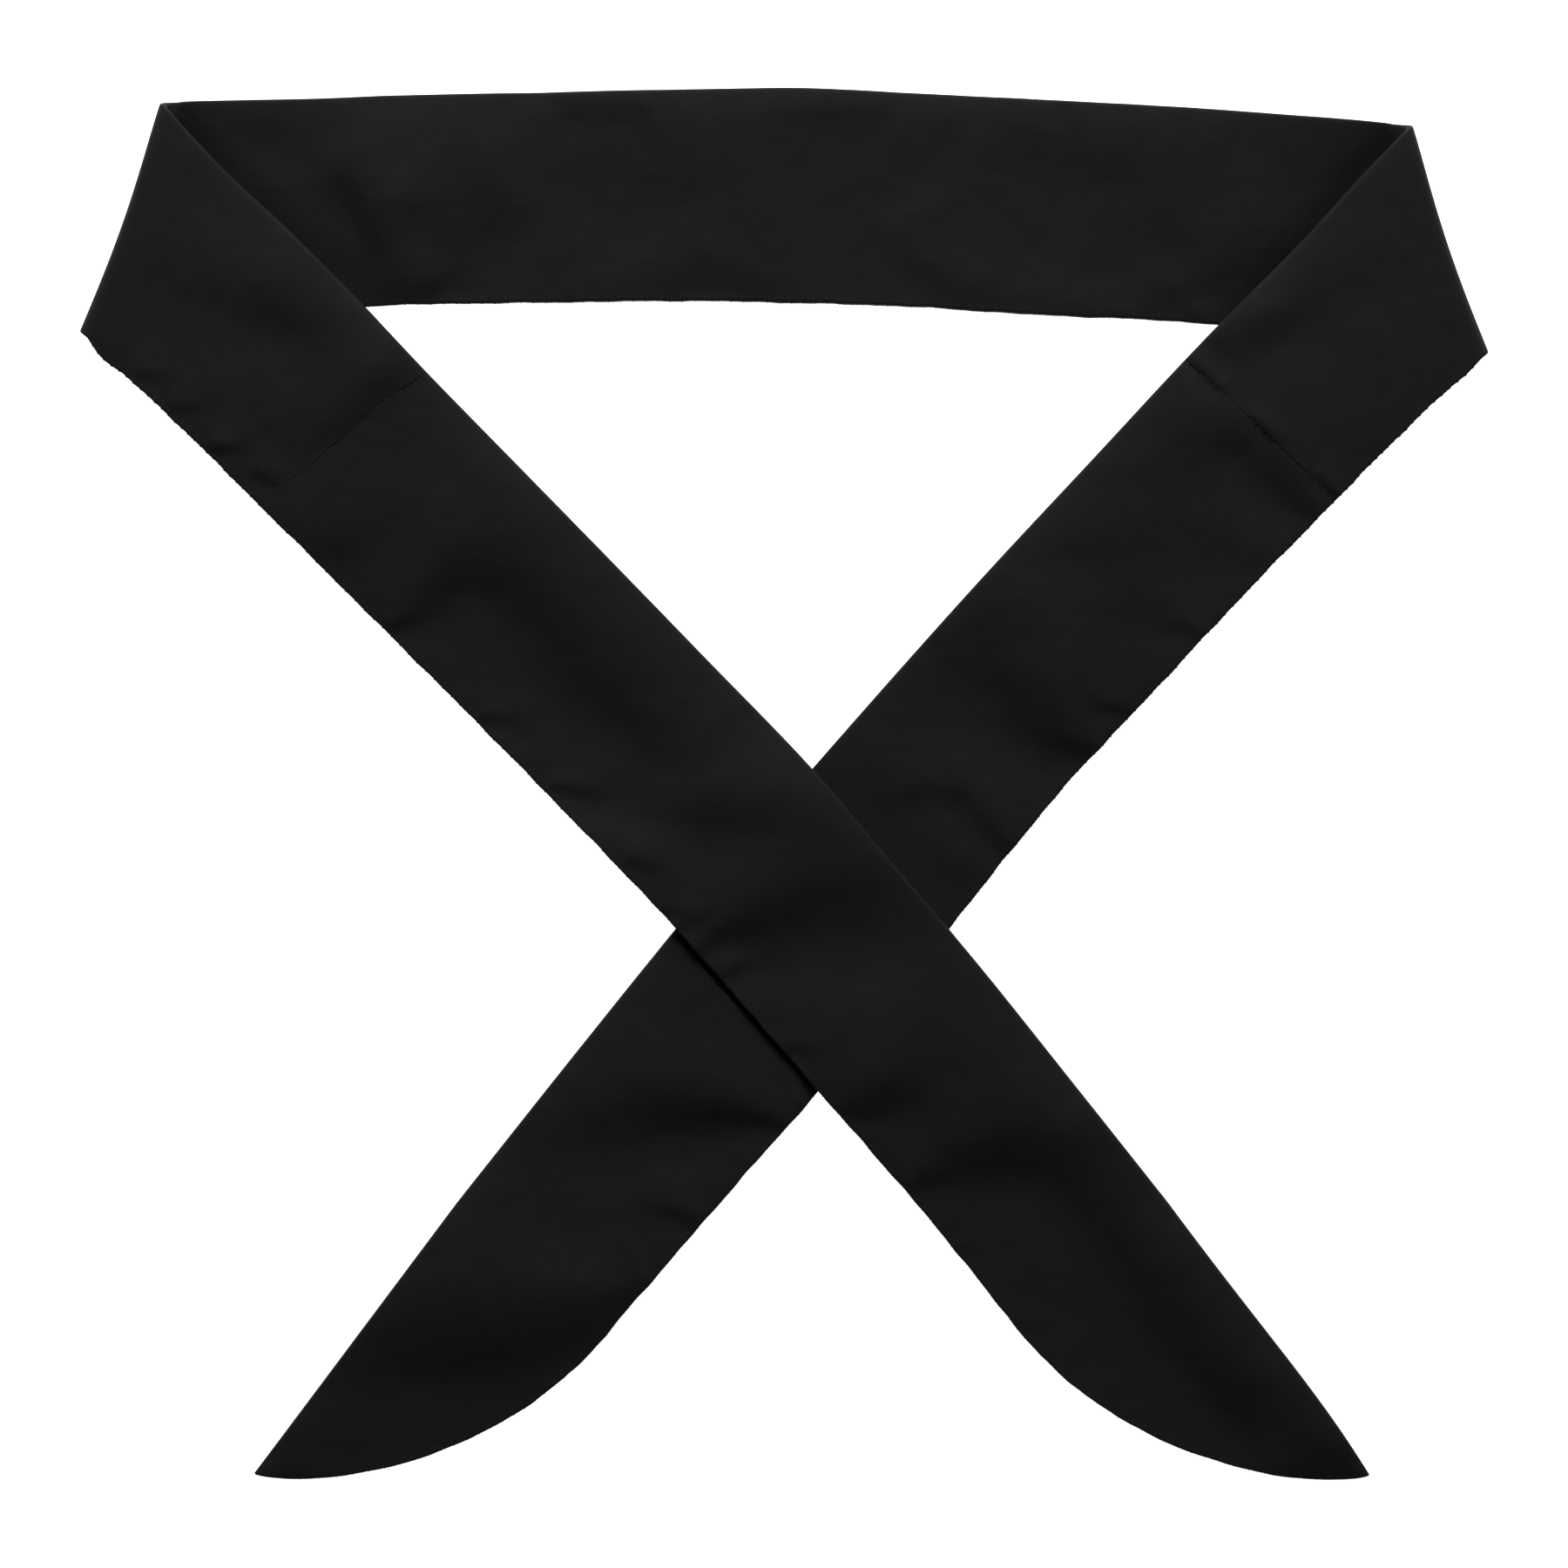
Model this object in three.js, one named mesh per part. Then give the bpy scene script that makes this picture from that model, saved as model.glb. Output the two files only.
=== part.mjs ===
// Cooling neck wrap: a black sewn cloth band laid flat, turned back at two mitred corners, tails crossed.
// Millimetres. +X is right, +Y is towards the neck span and +Z is up from the surface it lies on.
// The origin is under the middle of the outline, on that surface.
// The band has one smooth folded edge (fold) and one closed edge with the seam in it (seam).

import * as THREE from 'three';

// Driving dimensions
const EDGE_THICKNESS = 2.0; // cloth plies pressed together at both long edges
const EDGE_RADIUS = 1.8; // how far in from an edge the surface has rounded over
const CORNER_LOFT = 2.6; // thickness of the band where it is turned back
const CROSSING_LOFT = 2.4; // thickness of the right tail under the left one
const LAYER_GAP = 0.3; // air between layers and between neighbouring pieces
const TIP_LENGTH = 80; // the curved end of a tail, measured along its straight edge
const TIP_FULLNESS = 0.8; // exponent of the curve that closes the tail towards its point

// How the cloth comes down to the surface beside what it lies over
const RAMP_START = 4;
const RAMP_LENGTH = 12;

// Where the left tail's seam edge stands up over the right tail
const EDGE_LIFT = 1.0;
const EDGE_LIFT_REACH = 7;

// Resolution
const SECTION_STEP = 5.4;
const TURN_STEPS = 8;
const TIP_STEPS = 13;
const TIP_LAST_ANGLE = 84;
const EDGE_INSETS = [0.6, 3];
const POCKET_MIDDLE = 8;
const TAIL_MIDDLE = 8;
const TAIL_UNDER_MIDDLE = 3;
const NARROW_WIDTH = 20; // below this width the edge insets and thickness shrink in step

// Pressing at the cross seams, where pocket and tail are sewn together
const SEAM_PINCH = 0.38;
const SEAM_PINCH_REACH = 2.2;
const SEAM_STATIONS = [LAYER_GAP / 2, 1.2, 2.8];

// The band from the left corner to the right one, under the neck. A row is a straight line across it.
const NECK_ROWS = [
  { foldX: -143.0, foldY: 159.5, seamX: -161.4, seamY: 106.4, loft: CORNER_LOFT },
  { foldX: -114.8, foldY: 160.1, seamX: -130.1, seamY: 109.2, loft: CORNER_LOFT },
  { foldX: -85.6, foldY: 161.1, seamX: -93.8, seamY: 112.0, loft: CORNER_LOFT },
  { foldX: -53.0, foldY: 161.8, seamX: -56.0, seamY: 112.9, loft: 3.3 },
  { foldX: -20.3, foldY: 162.5, seamX: -20.9, seamY: 113.2, loft: 3.8 },
  { foldX: 3.6, foldY: 162.8, seamX: 3.6, seamY: 112.7, loft: 3.8 },
  { foldX: 28.7, foldY: 161.7, seamX: 28.7, seamY: 112.0, loft: 3.8 },
  { foldX: 56.6, foldY: 160.3, seamX: 58.3, seamY: 110.0, loft: 3.3 },
  { foldX: 87.9, foldY: 158.5, seamX: 93.4, seamY: 108.2, loft: CORNER_LOFT },
  { foldX: 116.4, foldY: 156.4, seamX: 128.7, seamY: 104.7, loft: CORNER_LOFT },
  { foldX: 144.1, foldY: 154.3, seamX: 161.6, seamY: 101.2, loft: CORNER_LOFT },
];

// The left leg from its corner to where its tip begins. The pocket ends at the row marked seam.
const LEFT_ROWS = [
  { foldX: -143.7, foldY: 157.5, seamX: -162.1, seamY: 104.4, loft: CORNER_LOFT },
  { foldX: -130.1, foldY: 143.2, seamX: -154.0, seamY: 95.6, loft: CORNER_LOFT },
  { foldX: -114.8, foldY: 128.9, seamX: -143.8, seamY: 86.2, loft: 2.8 },
  { foldX: -99.5, foldY: 113.2, seamX: -134.6, seamY: 77.3, loft: 3.0 },
  { foldX: -84.0, foldY: 96.2, seamX: -125.4, seamY: 68.1, loft: 3.0, seam: true },
  { foldX: -61.1, foldY: 73.4, seamX: -97.2, seamY: 39.9, loft: 3.0 },
  { foldX: -38.9, foldY: 50.7, seamX: -74.0, seamY: 16.7, loft: 3.0 },
  { foldX: -19.1, foldY: 30.3, seamX: -53.8, seamY: -4.1, loft: 2.9 },
  { foldX: 6.6, foldY: 3.6, seamX: -28.9, seamY: -30.3, loft: 2.8 },
  { foldX: 24.4, foldY: -17.4, seamX: -10.1, seamY: -52.1, loft: 2.8 },
  { foldX: 44.6, foldY: -41.1, seamX: 8.3, seamY: -72.4, loft: 2.9 },
  { foldX: 69.1, foldY: -71.7, seamX: 33.0, seamY: -100.5, loft: 3.0 },
  { foldX: 89.5, foldY: -97.4, seamX: 52.5, seamY: -124.8, loft: 3.0 },
];

// The right leg in the same way
const RIGHT_ROWS = [
  { foldX: 144.8, foldY: 152.3, seamX: 162.3, seamY: 98.9, loft: CORNER_LOFT },
  { foldX: 134.8, foldY: 142.0, seamX: 154.2, seamY: 91.5, loft: CORNER_LOFT },
  { foldX: 121.5, foldY: 127.4, seamX: 144.2, seamY: 81.9, loft: 2.8 },
  { foldX: 107.2, foldY: 113.0, seamX: 136.8, seamY: 74.6, loft: 3.0 },
  { foldX: 94.2, foldY: 99.7, seamX: 129.3, seamY: 66.9, loft: 3.0, seam: true },
  { foldX: 72.3, foldY: 76.2, seamX: 107.7, seamY: 44.6, loft: 3.0 },
  { foldX: 48.5, foldY: 50.7, seamX: 84.2, seamY: 19.4, loft: 3.0 },
  { foldX: 30.1, foldY: 30.3, seamX: 65.8, seamY: -0.3, loft: 2.8 },
  { foldX: 6.6, foldY: 3.6, seamX: 43.0, seamY: -28.2, loft: CROSSING_LOFT },
  { foldX: -9.7, foldY: -15.5, seamX: 27.4, seamY: -48.5, loft: CROSSING_LOFT },
  { foldX: -25.8, foldY: -34.4, seamX: 11.9, seamY: -67.4, loft: CROSSING_LOFT },
  { foldX: -47.7, foldY: -61.5, seamX: -9.9, seamY: -92.1, loft: 2.8 },
  { foldX: -76.2, foldY: -97.4, seamX: -38.8, seamY: -125.4, loft: 3.0 },
];

// Folds in the cloth. A positive depth is a valley and a negative one a ridge, from one end to the other.
const NECK_FOLDS = [
  { x: -86.6, y: 113.2, toX: -93.8, toY: 124.4, width: 4.5, depth: 0.8, toDepth: 0.8 },
  { x: -93.8, y: 124.4, toX: -104.4, toY: 144.8, width: 6, depth: 0.8, toDepth: 0.2 },
  { x: -66.2, y: 116.0, toX: -67.3, toY: 144.8, width: 6, depth: 0.6, toDepth: 0.2 },
  { x: 36.8, y: 113.2, toX: 27.7, toY: 125.4, width: 4, depth: 0.7, toDepth: 0.1 },
  { x: -26.2, y: 160.1, toX: -26.2, toY: 142.8, width: 6, depth: 0.5, toDepth: 0.1 },
  { x: 12.3, y: 161.1, toX: 11.3, toY: 144.8, width: 6, depth: 0.5, toDepth: 0.1 },
  { x: 90.9, y: 110.1, toX: 99.1, toY: 118.3, width: 5, depth: 0.5, toDepth: 0.3 },
];

const LEFT_FOLDS = [
  { x: -126.4, y: 112.1, toX: -109.1, toY: 107.7, width: 6, depth: 0.6, toDepth: 0.5 },
  { x: -130.1, y: 77.9, toX: -124.4, toY: 79.9, width: 3, depth: 0.7, toDepth: 0.2 },
  { x: -108.1, y: 51.9, toX: -95.8, toY: 60.1, width: 5, depth: 0.7, toDepth: 0.3 },
  { x: -89.3, y: 34.6, toX: -69.3, toY: 46.4, width: 5, depth: 0.9, toDepth: 1.3 },
  { x: -69.3, y: 46.4, toX: -53.0, toY: 33.6, width: 6, depth: 1.3, toDepth: 1.2 },
  { x: -53.0, y: 33.6, toX: -21.3, toY: 3.0, width: 7, depth: 1.2, toDepth: 0.3 },
  { x: -75.4, y: 28.5, toX: -59.1, toY: 8.1, width: 7, depth: -0.5, toDepth: -0.4 },
  { x: -42.8, y: -4.6, toX: -4.0, toY: -13.4, width: 5, depth: 0.9, toDepth: 0.5 },
  { x: -19.1, y: -41.5, toX: -6.0, toY: -35.8, width: 4.5, depth: 1.1, toDepth: 1.2 },
  { x: -6.0, y: -35.8, toX: 29.7, toY: -30.7, width: 7, depth: 1.2, toDepth: 0.3 },
  { x: -6.0, y: -46.6, toX: 32.8, toY: -45.0, width: 5, depth: -0.5, toDepth: -0.2 },
  { x: 16.0, y: -77.7, toX: 35.8, toY: -70.5, width: 5, depth: 1.2, toDepth: 0.6 },
  { x: 18.5, y: -83.8, toX: 40.9, toY: -79.7, width: 5, depth: -0.4, toDepth: -0.3 },
  { x: 31.1, y: -96.4, toX: 46.0, toY: -89.9, width: 5, depth: 1.2, toDepth: 1.3 },
  { x: 46.0, y: -89.9, toX: 68.5, toY: -91.9, width: 7, depth: 1.3, toDepth: 0.4 },
  { x: 74.0, y: -102.1, toX: 90.9, toY: -131.7, width: 7, depth: 0.5, toDepth: 1.1 },
  { x: 90.9, y: -131.7, toX: 114.4, toY: -156.8, width: 7, depth: 1.1, toDepth: 0.4 },
];

const RIGHT_FOLDS = [
  { x: 110.3, y: 104.0, toX: 117.4, toY: 107.0, width: 5, depth: 0.5, toDepth: 0.4 },
  { x: 100.5, y: 77.4, toX: 111.9, toY: 79.9, width: 5, depth: 0.5, toDepth: 0.9 },
  { x: 111.9, y: 79.9, toX: 124.6, toY: 62.8, width: 5, depth: 0.9, toDepth: 0.7 },
  { x: 95.0, y: 34.2, toX: 86.8, toY: 38.7, width: 4.5, depth: 0.8, toDepth: 0.2 },
  { x: 71.9, y: 5.6, toX: 60.3, toY: 10.1, width: 4.5, depth: 1.3, toDepth: 1.2 },
  { x: 60.3, y: 10.1, toX: 44.0, toY: 30.5, width: 6, depth: 1.2, toDepth: 0.4 },
  { x: 51.1, y: -16.4, toX: 45.0, toY: -7.2, width: 4.5, depth: 0.9, toDepth: 0.8 },
  { x: 45.0, y: -7.2, toX: 28.7, toY: -5.2, width: 5, depth: 0.8, toDepth: 0.3 },
  { x: -1.3, y: -81.1, toX: -20.3, toY: -79.7, width: 5, depth: 1.3, toDepth: 1.0 },
  { x: -20.3, y: -79.7, toX: -42.8, toY: -74.0, width: 6, depth: 1.0, toDepth: 0.2 },
  { x: -22.3, y: -103.2, toX: -30.5, toY: -100.5, width: 4.5, depth: 0.7, toDepth: 0.2 },
  { x: -53.0, y: -108.3, toX: -40.7, toY: -110.3, width: 8, depth: -0.5, toDepth: -0.5 },
  { x: -35.6, y: -125.0, toX: -50.9, toY: -134.8, width: 6, depth: 0.8, toDepth: 1.2 },
  { x: -50.9, y: -134.8, toX: -95.8, toY: -138.9, width: 8, depth: 1.2, toDepth: 0.5 },
];

// Lines that a layer underneath reaches to: from one point to another, with that layer on the left hand.
const NECK_SEAM_AT_LEFT = { x: -163.6, y: 106.4, toX: -96.8, toY: 111.9 };
const NECK_SEAM_AT_RIGHT = { x: 100.7, y: 106.4, toX: 164.0, toY: 101.1 };
const RIGHT_TAIL_FOLD_LINE = { x: -25.8, y: -34.4, toX: 6.6, toY: 3.6, flip: true };
const RIGHT_TAIL_SEAM_LINE = { x: 8.3, y: -71.9, toX: 39.9, toY: -33.2 };
const LEFT_TAIL_SEAM_LINE = { x: -25.4, y: -35.2, toX: 7.7, toY: -71.9 };

const clothMaterial = new THREE.MeshStandardMaterial({ color: 0x1a1a1a, roughness: 0.92, metalness: 0 });

// Plan distance of a point from the layer beside a line: negative over the layer, positive outside it.
function distanceOutside(line, point) {
  const along = new THREE.Vector2(line.toX - line.x, line.toY - line.y).normalize();
  const across = (point.x - line.x) * along.y - (point.y - line.y) * along.x;
  return line.flip ? -across : across;
}

// Height that the cloth keeps over a layer and gives up beside it
function heightOver(lines, height, point) {
  const outside = Math.max(...lines.map((line) => distanceOutside(line, point)));
  return height * (1 - THREE.MathUtils.smoothstep(outside, RAMP_START, RAMP_START + RAMP_LENGTH));
}

function onTheSurface() {
  return 0;
}

function overNeckAtLeft(point) {
  return heightOver([NECK_SEAM_AT_LEFT], CORNER_LOFT + LAYER_GAP, point);
}

function overNeckAtRight(point) {
  return heightOver([NECK_SEAM_AT_RIGHT], CORNER_LOFT + LAYER_GAP, point);
}

// The left tail over the right one, with its seam edge standing up towards the lower corner
function overRightTail(point) {
  const lines = [RIGHT_TAIL_FOLD_LINE, RIGHT_TAIL_SEAM_LINE];
  const lying = heightOver(lines, CROSSING_LOFT + LAYER_GAP, point);
  const { x, y, toX, toY } = LEFT_TAIL_SEAM_LINE;
  const length = Math.hypot(toX - x, toY - y);
  const along = ((point.x - x) * (toX - x) + (point.y - y) * (toY - y)) / length ** 2;
  const inset = Math.abs(distanceOutside(LEFT_TAIL_SEAM_LINE, point));
  const rise = THREE.MathUtils.smoothstep(along, 0, 0.8) * (1 - THREE.MathUtils.smoothstep(along, 0.85, 1.35));
  return lying + EDGE_LIFT * rise * Math.exp(-inset / EDGE_LIFT_REACH);
}

// Depth of the folds at a point. Folds of one kind that meet run into each other without adding up.
function foldDepth(folds, point) {
  let valleys = 0;
  let ridges = 0;
  for (const fold of folds) {
    const dx = fold.toX - fold.x;
    const dy = fold.toY - fold.y;
    const along = ((point.x - fold.x) * dx + (point.y - fold.y) * dy) / (dx * dx + dy * dy);
    const held = THREE.MathUtils.clamp(along, 0, 1);
    const away = Math.hypot(point.x - fold.x - held * dx, point.y - fold.y - held * dy);
    const depth = THREE.MathUtils.lerp(fold.depth, fold.toDepth, held) * Math.exp(-((away / fold.width) ** 2));
    if (depth > 0) valleys += depth ** 3;
    else ridges += (-depth) ** 3;
  }
  return Math.cbrt(valleys) - Math.cbrt(ridges);
}

// A strip of the band: two edge curves and a thickness, read at a row number that need not be whole
function makeStrip(rows) {
  const edge = (x, y) => new THREE.CatmullRomCurve3(rows.map((row) => new THREE.Vector3(row[x], row[y], 0)));
  const last = rows.length - 1;
  return { rows, last, foldEdge: edge('foldX', 'foldY'), seamEdge: edge('seamX', 'seamY') };
}

function sectionAt(strip, station) {
  const row = Math.min(Math.floor(station), strip.last - 1);
  const loft = THREE.MathUtils.lerp(strip.rows[row].loft, strip.rows[row + 1].loft, station - row);
  const fold = strip.foldEdge.getPoint(station / strip.last);
  const seam = strip.seamEdge.getPoint(station / strip.last);
  return { fold, seam, loft, pinch: 1 };
}

// Length of the middle of the strip from one row to the next
function rowLength(strip, row) {
  const middle = (index) => {
    const { foldX, foldY, seamX, seamY } = strip.rows[index];
    return new THREE.Vector2((foldX + seamX) / 2, (foldY + seamY) / 2);
  };
  return middle(row).distanceTo(middle(row + 1));
}

function sectionsBetween(strip, from, to) {
  const sections = [];
  for (let row = from; row < to; row += 1) {
    const steps = Math.ceil(rowLength(strip, row) / SECTION_STEP);
    for (let step = 0; step < steps; step += 1) sections.push(sectionAt(strip, row + step / steps));
  }
  sections.push(sectionAt(strip, to));
  return sections;
}

// The sections beside a cross seam, thinned towards it. Side is -1 before the seam and +1 after it.
function sectionsAtSeam(strip, seamRow, side) {
  const length = rowLength(strip, side < 0 ? seamRow - 1 : seamRow);
  return SEAM_STATIONS.map((distance) => {
    const section = sectionAt(strip, seamRow + (side * distance) / length);
    section.pinch = 1 - SEAM_PINCH * Math.exp(-((distance / SEAM_PINCH_REACH) ** 2));
    return section;
  });
}

// The end of a tail: straight on along the fold edge, while the seam edge curves in to meet it
function tipSections(strip) {
  const start = sectionAt(strip, strip.last);
  const across = start.seam.clone().sub(start.fold);
  const width = across.length();
  across.normalize();
  const side = Math.sign(across.x);
  const ahead = new THREE.Vector3(side * across.y, -side * across.x, 0);
  const sections = [];
  for (let step = 1; step <= TIP_STEPS; step += 1) {
    const angle = THREE.MathUtils.degToRad((TIP_LAST_ANGLE * step) / TIP_STEPS);
    const fold = start.fold.clone().addScaledVector(ahead, TIP_LENGTH * Math.sin(angle));
    const seam = fold.clone().addScaledVector(across, width * Math.cos(angle) ** (2 * TIP_FULLNESS));
    sections.push({ fold, seam, loft: start.loft, pinch: 1 });
  }
  return sections;
}

// Distances from the fold edge at which a face of the band has points
function pointsAcross(width, middle) {
  const shrink = Math.min(1, width / NARROW_WIDTH);
  const insets = EDGE_INSETS.map((inset) => inset * shrink);
  const first = insets[insets.length - 1];
  const inner = [];
  for (let step = 1; step < middle; step += 1) inner.push(first + (step / middle) * (width - 2 * first));
  return [...insets, ...inner, ...insets.map((inset) => width - inset).reverse()];
}

// Heights of the upper and lower face above what the band lies on, for a distance from the fold edge
function faceHeights(section, distance) {
  const width = section.fold.distanceTo(section.seam);
  const shrink = Math.min(1, width / NARROW_WIDTH);
  const edge = EDGE_THICKNESS * section.pinch * (0.4 + 0.6 * shrink);
  const loft = edge + (section.loft * section.pinch - edge) * shrink;
  const inset = Math.max(0, Math.min(distance, width - distance));
  const rounded = Math.sqrt(1 - (1 - Math.min(1, inset / (EDGE_RADIUS * shrink))) ** 2);
  const middle = edge / 2;
  const crown = edge + (loft - edge) * Math.sin((Math.PI * inset) / width) ** 0.7;
  return { upper: middle + (crown - middle) * rounded, lower: middle * (1 - rounded) };
}

// One closed ring: the fold edge, the outer face, the seam edge and the inner face back.
// The outer face is the one that stays outside where the band is turned over at a corner.
function ringPoints(section, counts, place) {
  const width = section.fold.distanceTo(section.seam);
  const outer = pointsAcross(width, counts.outer).map((distance) => place(section, distance, 'outer'));
  const inner = pointsAcross(width, counts.inner).map((distance) => place(section, distance, 'inner'));
  return [place(section, 0, 'outer'), ...outer, place(section, width, 'outer'), ...inner.reverse()];
}

// Places a point of a band that lies flat. Face is the one that looks up: outer on a leg, inner at the neck.
function flatPlacer(faceUp, base, folds) {
  return (section, distance, face) => {
    const width = section.fold.distanceTo(section.seam);
    const point = section.fold.clone().lerp(section.seam, distance / width);
    const heights = faceHeights(section, distance);
    const fade = (heights.upper - heights.lower) / section.loft;
    const isUp = face === faceUp;
    point.z = base(point) + (isUp ? heights.upper - fade * foldDepth(folds, point) : heights.lower);
    return point;
  };
}

// Places a point in the turn at a corner, between the neck's last section below and the leg's first above
function turnPlacer(below, above, share) {
  const axisHeight = CORNER_LOFT + LAYER_GAP / 2;
  const base = CORNER_LOFT + LAYER_GAP;
  const angle = Math.PI * share;
  return (section, distance, face) => {
    const width = section.fold.distanceTo(section.seam);
    const along = section.seam.clone().sub(section.fold).normalize();
    const outward = new THREE.Vector3(along.y, -along.x, 0).multiplyScalar(Math.sign(section.fold.x * along.y));
    const low = faceHeights(below, (distance / width) * below.fold.distanceTo(below.seam));
    const high = faceHeights(above, (distance / width) * above.fold.distanceTo(above.seam));
    const start = axisHeight - (face === 'outer' ? low.lower : low.upper);
    const end = base + (face === 'outer' ? high.upper : high.lower) - axisHeight;
    const radius = THREE.MathUtils.lerp(start, end, share);
    const point = section.fold.clone().addScaledVector(along, distance);
    point.addScaledVector(outward, radius * Math.sin(angle));
    point.z = axisHeight - radius * Math.cos(angle);
    return point;
  };
}

function turnRings(below, above, counts) {
  const rings = [];
  for (let step = 1; step < TURN_STEPS; step += 1) {
    const share = step / TURN_STEPS;
    const section = { fold: below.fold.clone().lerp(above.fold, share), seam: below.seam.clone().lerp(above.seam, share) };
    rings.push(ringPoints(section, counts, turnPlacer(below, above, share)));
  }
  return rings;
}

// A closed mesh through the rings, with a flat end on the first and the last
function meshThroughRings(name, rings) {
  const count = rings[0].length;
  const positions = rings.flat().flatMap((point) => [point.x, point.y, point.z]);
  const index = [];
  for (let ring = 0; ring + 1 < rings.length; ring += 1) {
    for (let corner = 0; corner < count; corner += 1) {
      const next = (corner + 1) % count;
      const [a, b] = [ring * count + corner, ring * count + next];
      const [c, d] = [a + count, b + count];
      index.push(a, b, d, a, d, c);
    }
  }
  addEnd(index, rings[0], 0, false);
  addEnd(index, rings[rings.length - 1], (rings.length - 1) * count, true);
  if (signedVolume(positions, index) < 0) index.reverse();
  const geometry = new THREE.BufferGeometry();
  geometry.setAttribute('position', new THREE.Float32BufferAttribute(positions, 3));
  geometry.setIndex(index);
  geometry.computeVertexNormals();
  const mesh = new THREE.Mesh(geometry, clothMaterial);
  mesh.name = name;
  return mesh;
}

// Closes one end. The side walls pass the first ring against its own order and the last ring along it.
function addEnd(index, ring, first, isLast) {
  const start = ring[0];
  const outline = ring.map((point) => new THREE.Vector2(Math.hypot(point.x - start.x, point.y - start.y), point.z));
  const ringWay = Math.sign(THREE.ShapeUtils.area(outline));
  for (const [a, b, c] of THREE.ShapeUtils.triangulateShape(outline, [])) {
    const way = Math.sign(THREE.ShapeUtils.area([outline[a], outline[b], outline[c]]));
    const keep = (way === ringWay) === isLast;
    index.push(first + a, first + (keep ? b : c), first + (keep ? c : b));
  }
}

function signedVolume(positions, index) {
  const corner = (vertex) => new THREE.Vector3().fromArray(positions, 3 * vertex);
  let volume = 0;
  for (let i = 0; i < index.length; i += 3) {
    const [a, b, c] = [corner(index[i]), corner(index[i + 1]), corner(index[i + 2])];
    volume += a.dot(b.cross(c)) / 6;
  }
  return volume;
}

// The padded middle of the band: left leg down to its cross seam, neck span below, right leg to its seam
function makePocket(neck, left, right) {
  const counts = { outer: POCKET_MIDDLE, inner: POCKET_MIDDLE };
  const legRings = (strip, base, folds) => {
    const seamRow = strip.rows.findIndex((row) => row.seam);
    const place = flatPlacer('outer', base, folds);
    const sections = [...sectionsBetween(strip, 0, seamRow).slice(0, -1), ...sectionsAtSeam(strip, seamRow, -1).reverse()];
    return sections.map((section) => ringPoints(section, counts, place));
  };
  const neckPlace = flatPlacer('inner', onTheSurface, NECK_FOLDS);
  const neckRings = sectionsBetween(neck, 0, neck.last).map((section) => ringPoints(section, counts, neckPlace));
  const leftTurn = turnRings(sectionAt(neck, 0), sectionAt(left, 0), counts);
  const rightTurn = turnRings(sectionAt(neck, neck.last), sectionAt(right, 0), counts);
  const rings = [
    ...legRings(left, overNeckAtLeft, LEFT_FOLDS).reverse(),
    ...leftTurn.reverse(),
    ...neckRings,
    ...rightTurn,
    ...legRings(right, overNeckAtRight, RIGHT_FOLDS),
  ];
  return meshThroughRings('neck_pocket', rings);
}

function makeTail(name, strip, base, folds) {
  const counts = { outer: TAIL_MIDDLE, inner: TAIL_UNDER_MIDDLE };
  const seamRow = strip.rows.findIndex((row) => row.seam);
  const place = flatPlacer('outer', base, folds);
  const sections = [
    ...sectionsAtSeam(strip, seamRow, 1),
    ...sectionsBetween(strip, seamRow, strip.last).slice(1),
    ...tipSections(strip),
  ];
  return meshThroughRings(name, sections.map((section) => ringPoints(section, counts, place)));
}

function makeNeckWrap() {
  const neck = makeStrip(NECK_ROWS);
  const left = makeStrip(LEFT_ROWS);
  const right = makeStrip(RIGHT_ROWS);
  const wrap = new THREE.Group();
  wrap.add(makePocket(neck, left, right));
  wrap.add(makeTail('left_tail', left, overRightTail, LEFT_FOLDS));
  wrap.add(makeTail('right_tail', right, onTheSurface, RIGHT_FOLDS));
  return wrap;
}

export default makeNeckWrap();
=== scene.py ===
"""Cooling neck wrap: a black sewn cloth band laid flat, its tails crossed, turned back at two corners.

Everything is in metres, with +X right, +Y towards the neck span and +Z up from the surface it lies on.
The band has one smooth folded edge (fold) and one closed edge with the seam in it (seam).
"""

import math
from collections import namedtuple

import bpy
import numpy as np
from bpy.props import FloatProperty, FloatVectorProperty, PointerProperty
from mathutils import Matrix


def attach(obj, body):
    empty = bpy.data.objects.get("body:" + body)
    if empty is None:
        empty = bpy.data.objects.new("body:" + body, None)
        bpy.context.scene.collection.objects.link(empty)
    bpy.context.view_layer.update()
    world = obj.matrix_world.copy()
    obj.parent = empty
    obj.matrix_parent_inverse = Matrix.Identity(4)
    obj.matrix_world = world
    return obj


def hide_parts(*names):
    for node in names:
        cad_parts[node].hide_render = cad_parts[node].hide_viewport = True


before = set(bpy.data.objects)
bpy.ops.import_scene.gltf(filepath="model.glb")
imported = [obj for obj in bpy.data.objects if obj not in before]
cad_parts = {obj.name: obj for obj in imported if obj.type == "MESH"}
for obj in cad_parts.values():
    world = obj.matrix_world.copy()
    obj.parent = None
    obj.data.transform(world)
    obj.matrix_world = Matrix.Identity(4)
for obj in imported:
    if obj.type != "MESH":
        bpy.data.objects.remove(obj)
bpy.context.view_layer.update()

bl_info = {
    "name": "Cooling neck wrap",
    "version": (1, 0, 0),
    "blender": (4, 5, 0),
    "location": "View3D > Sidebar > Neck wrap",
    "description": "Builds a folded cloth neck wrap with crossed tails and its studio",
    "category": "Object",
}

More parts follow.
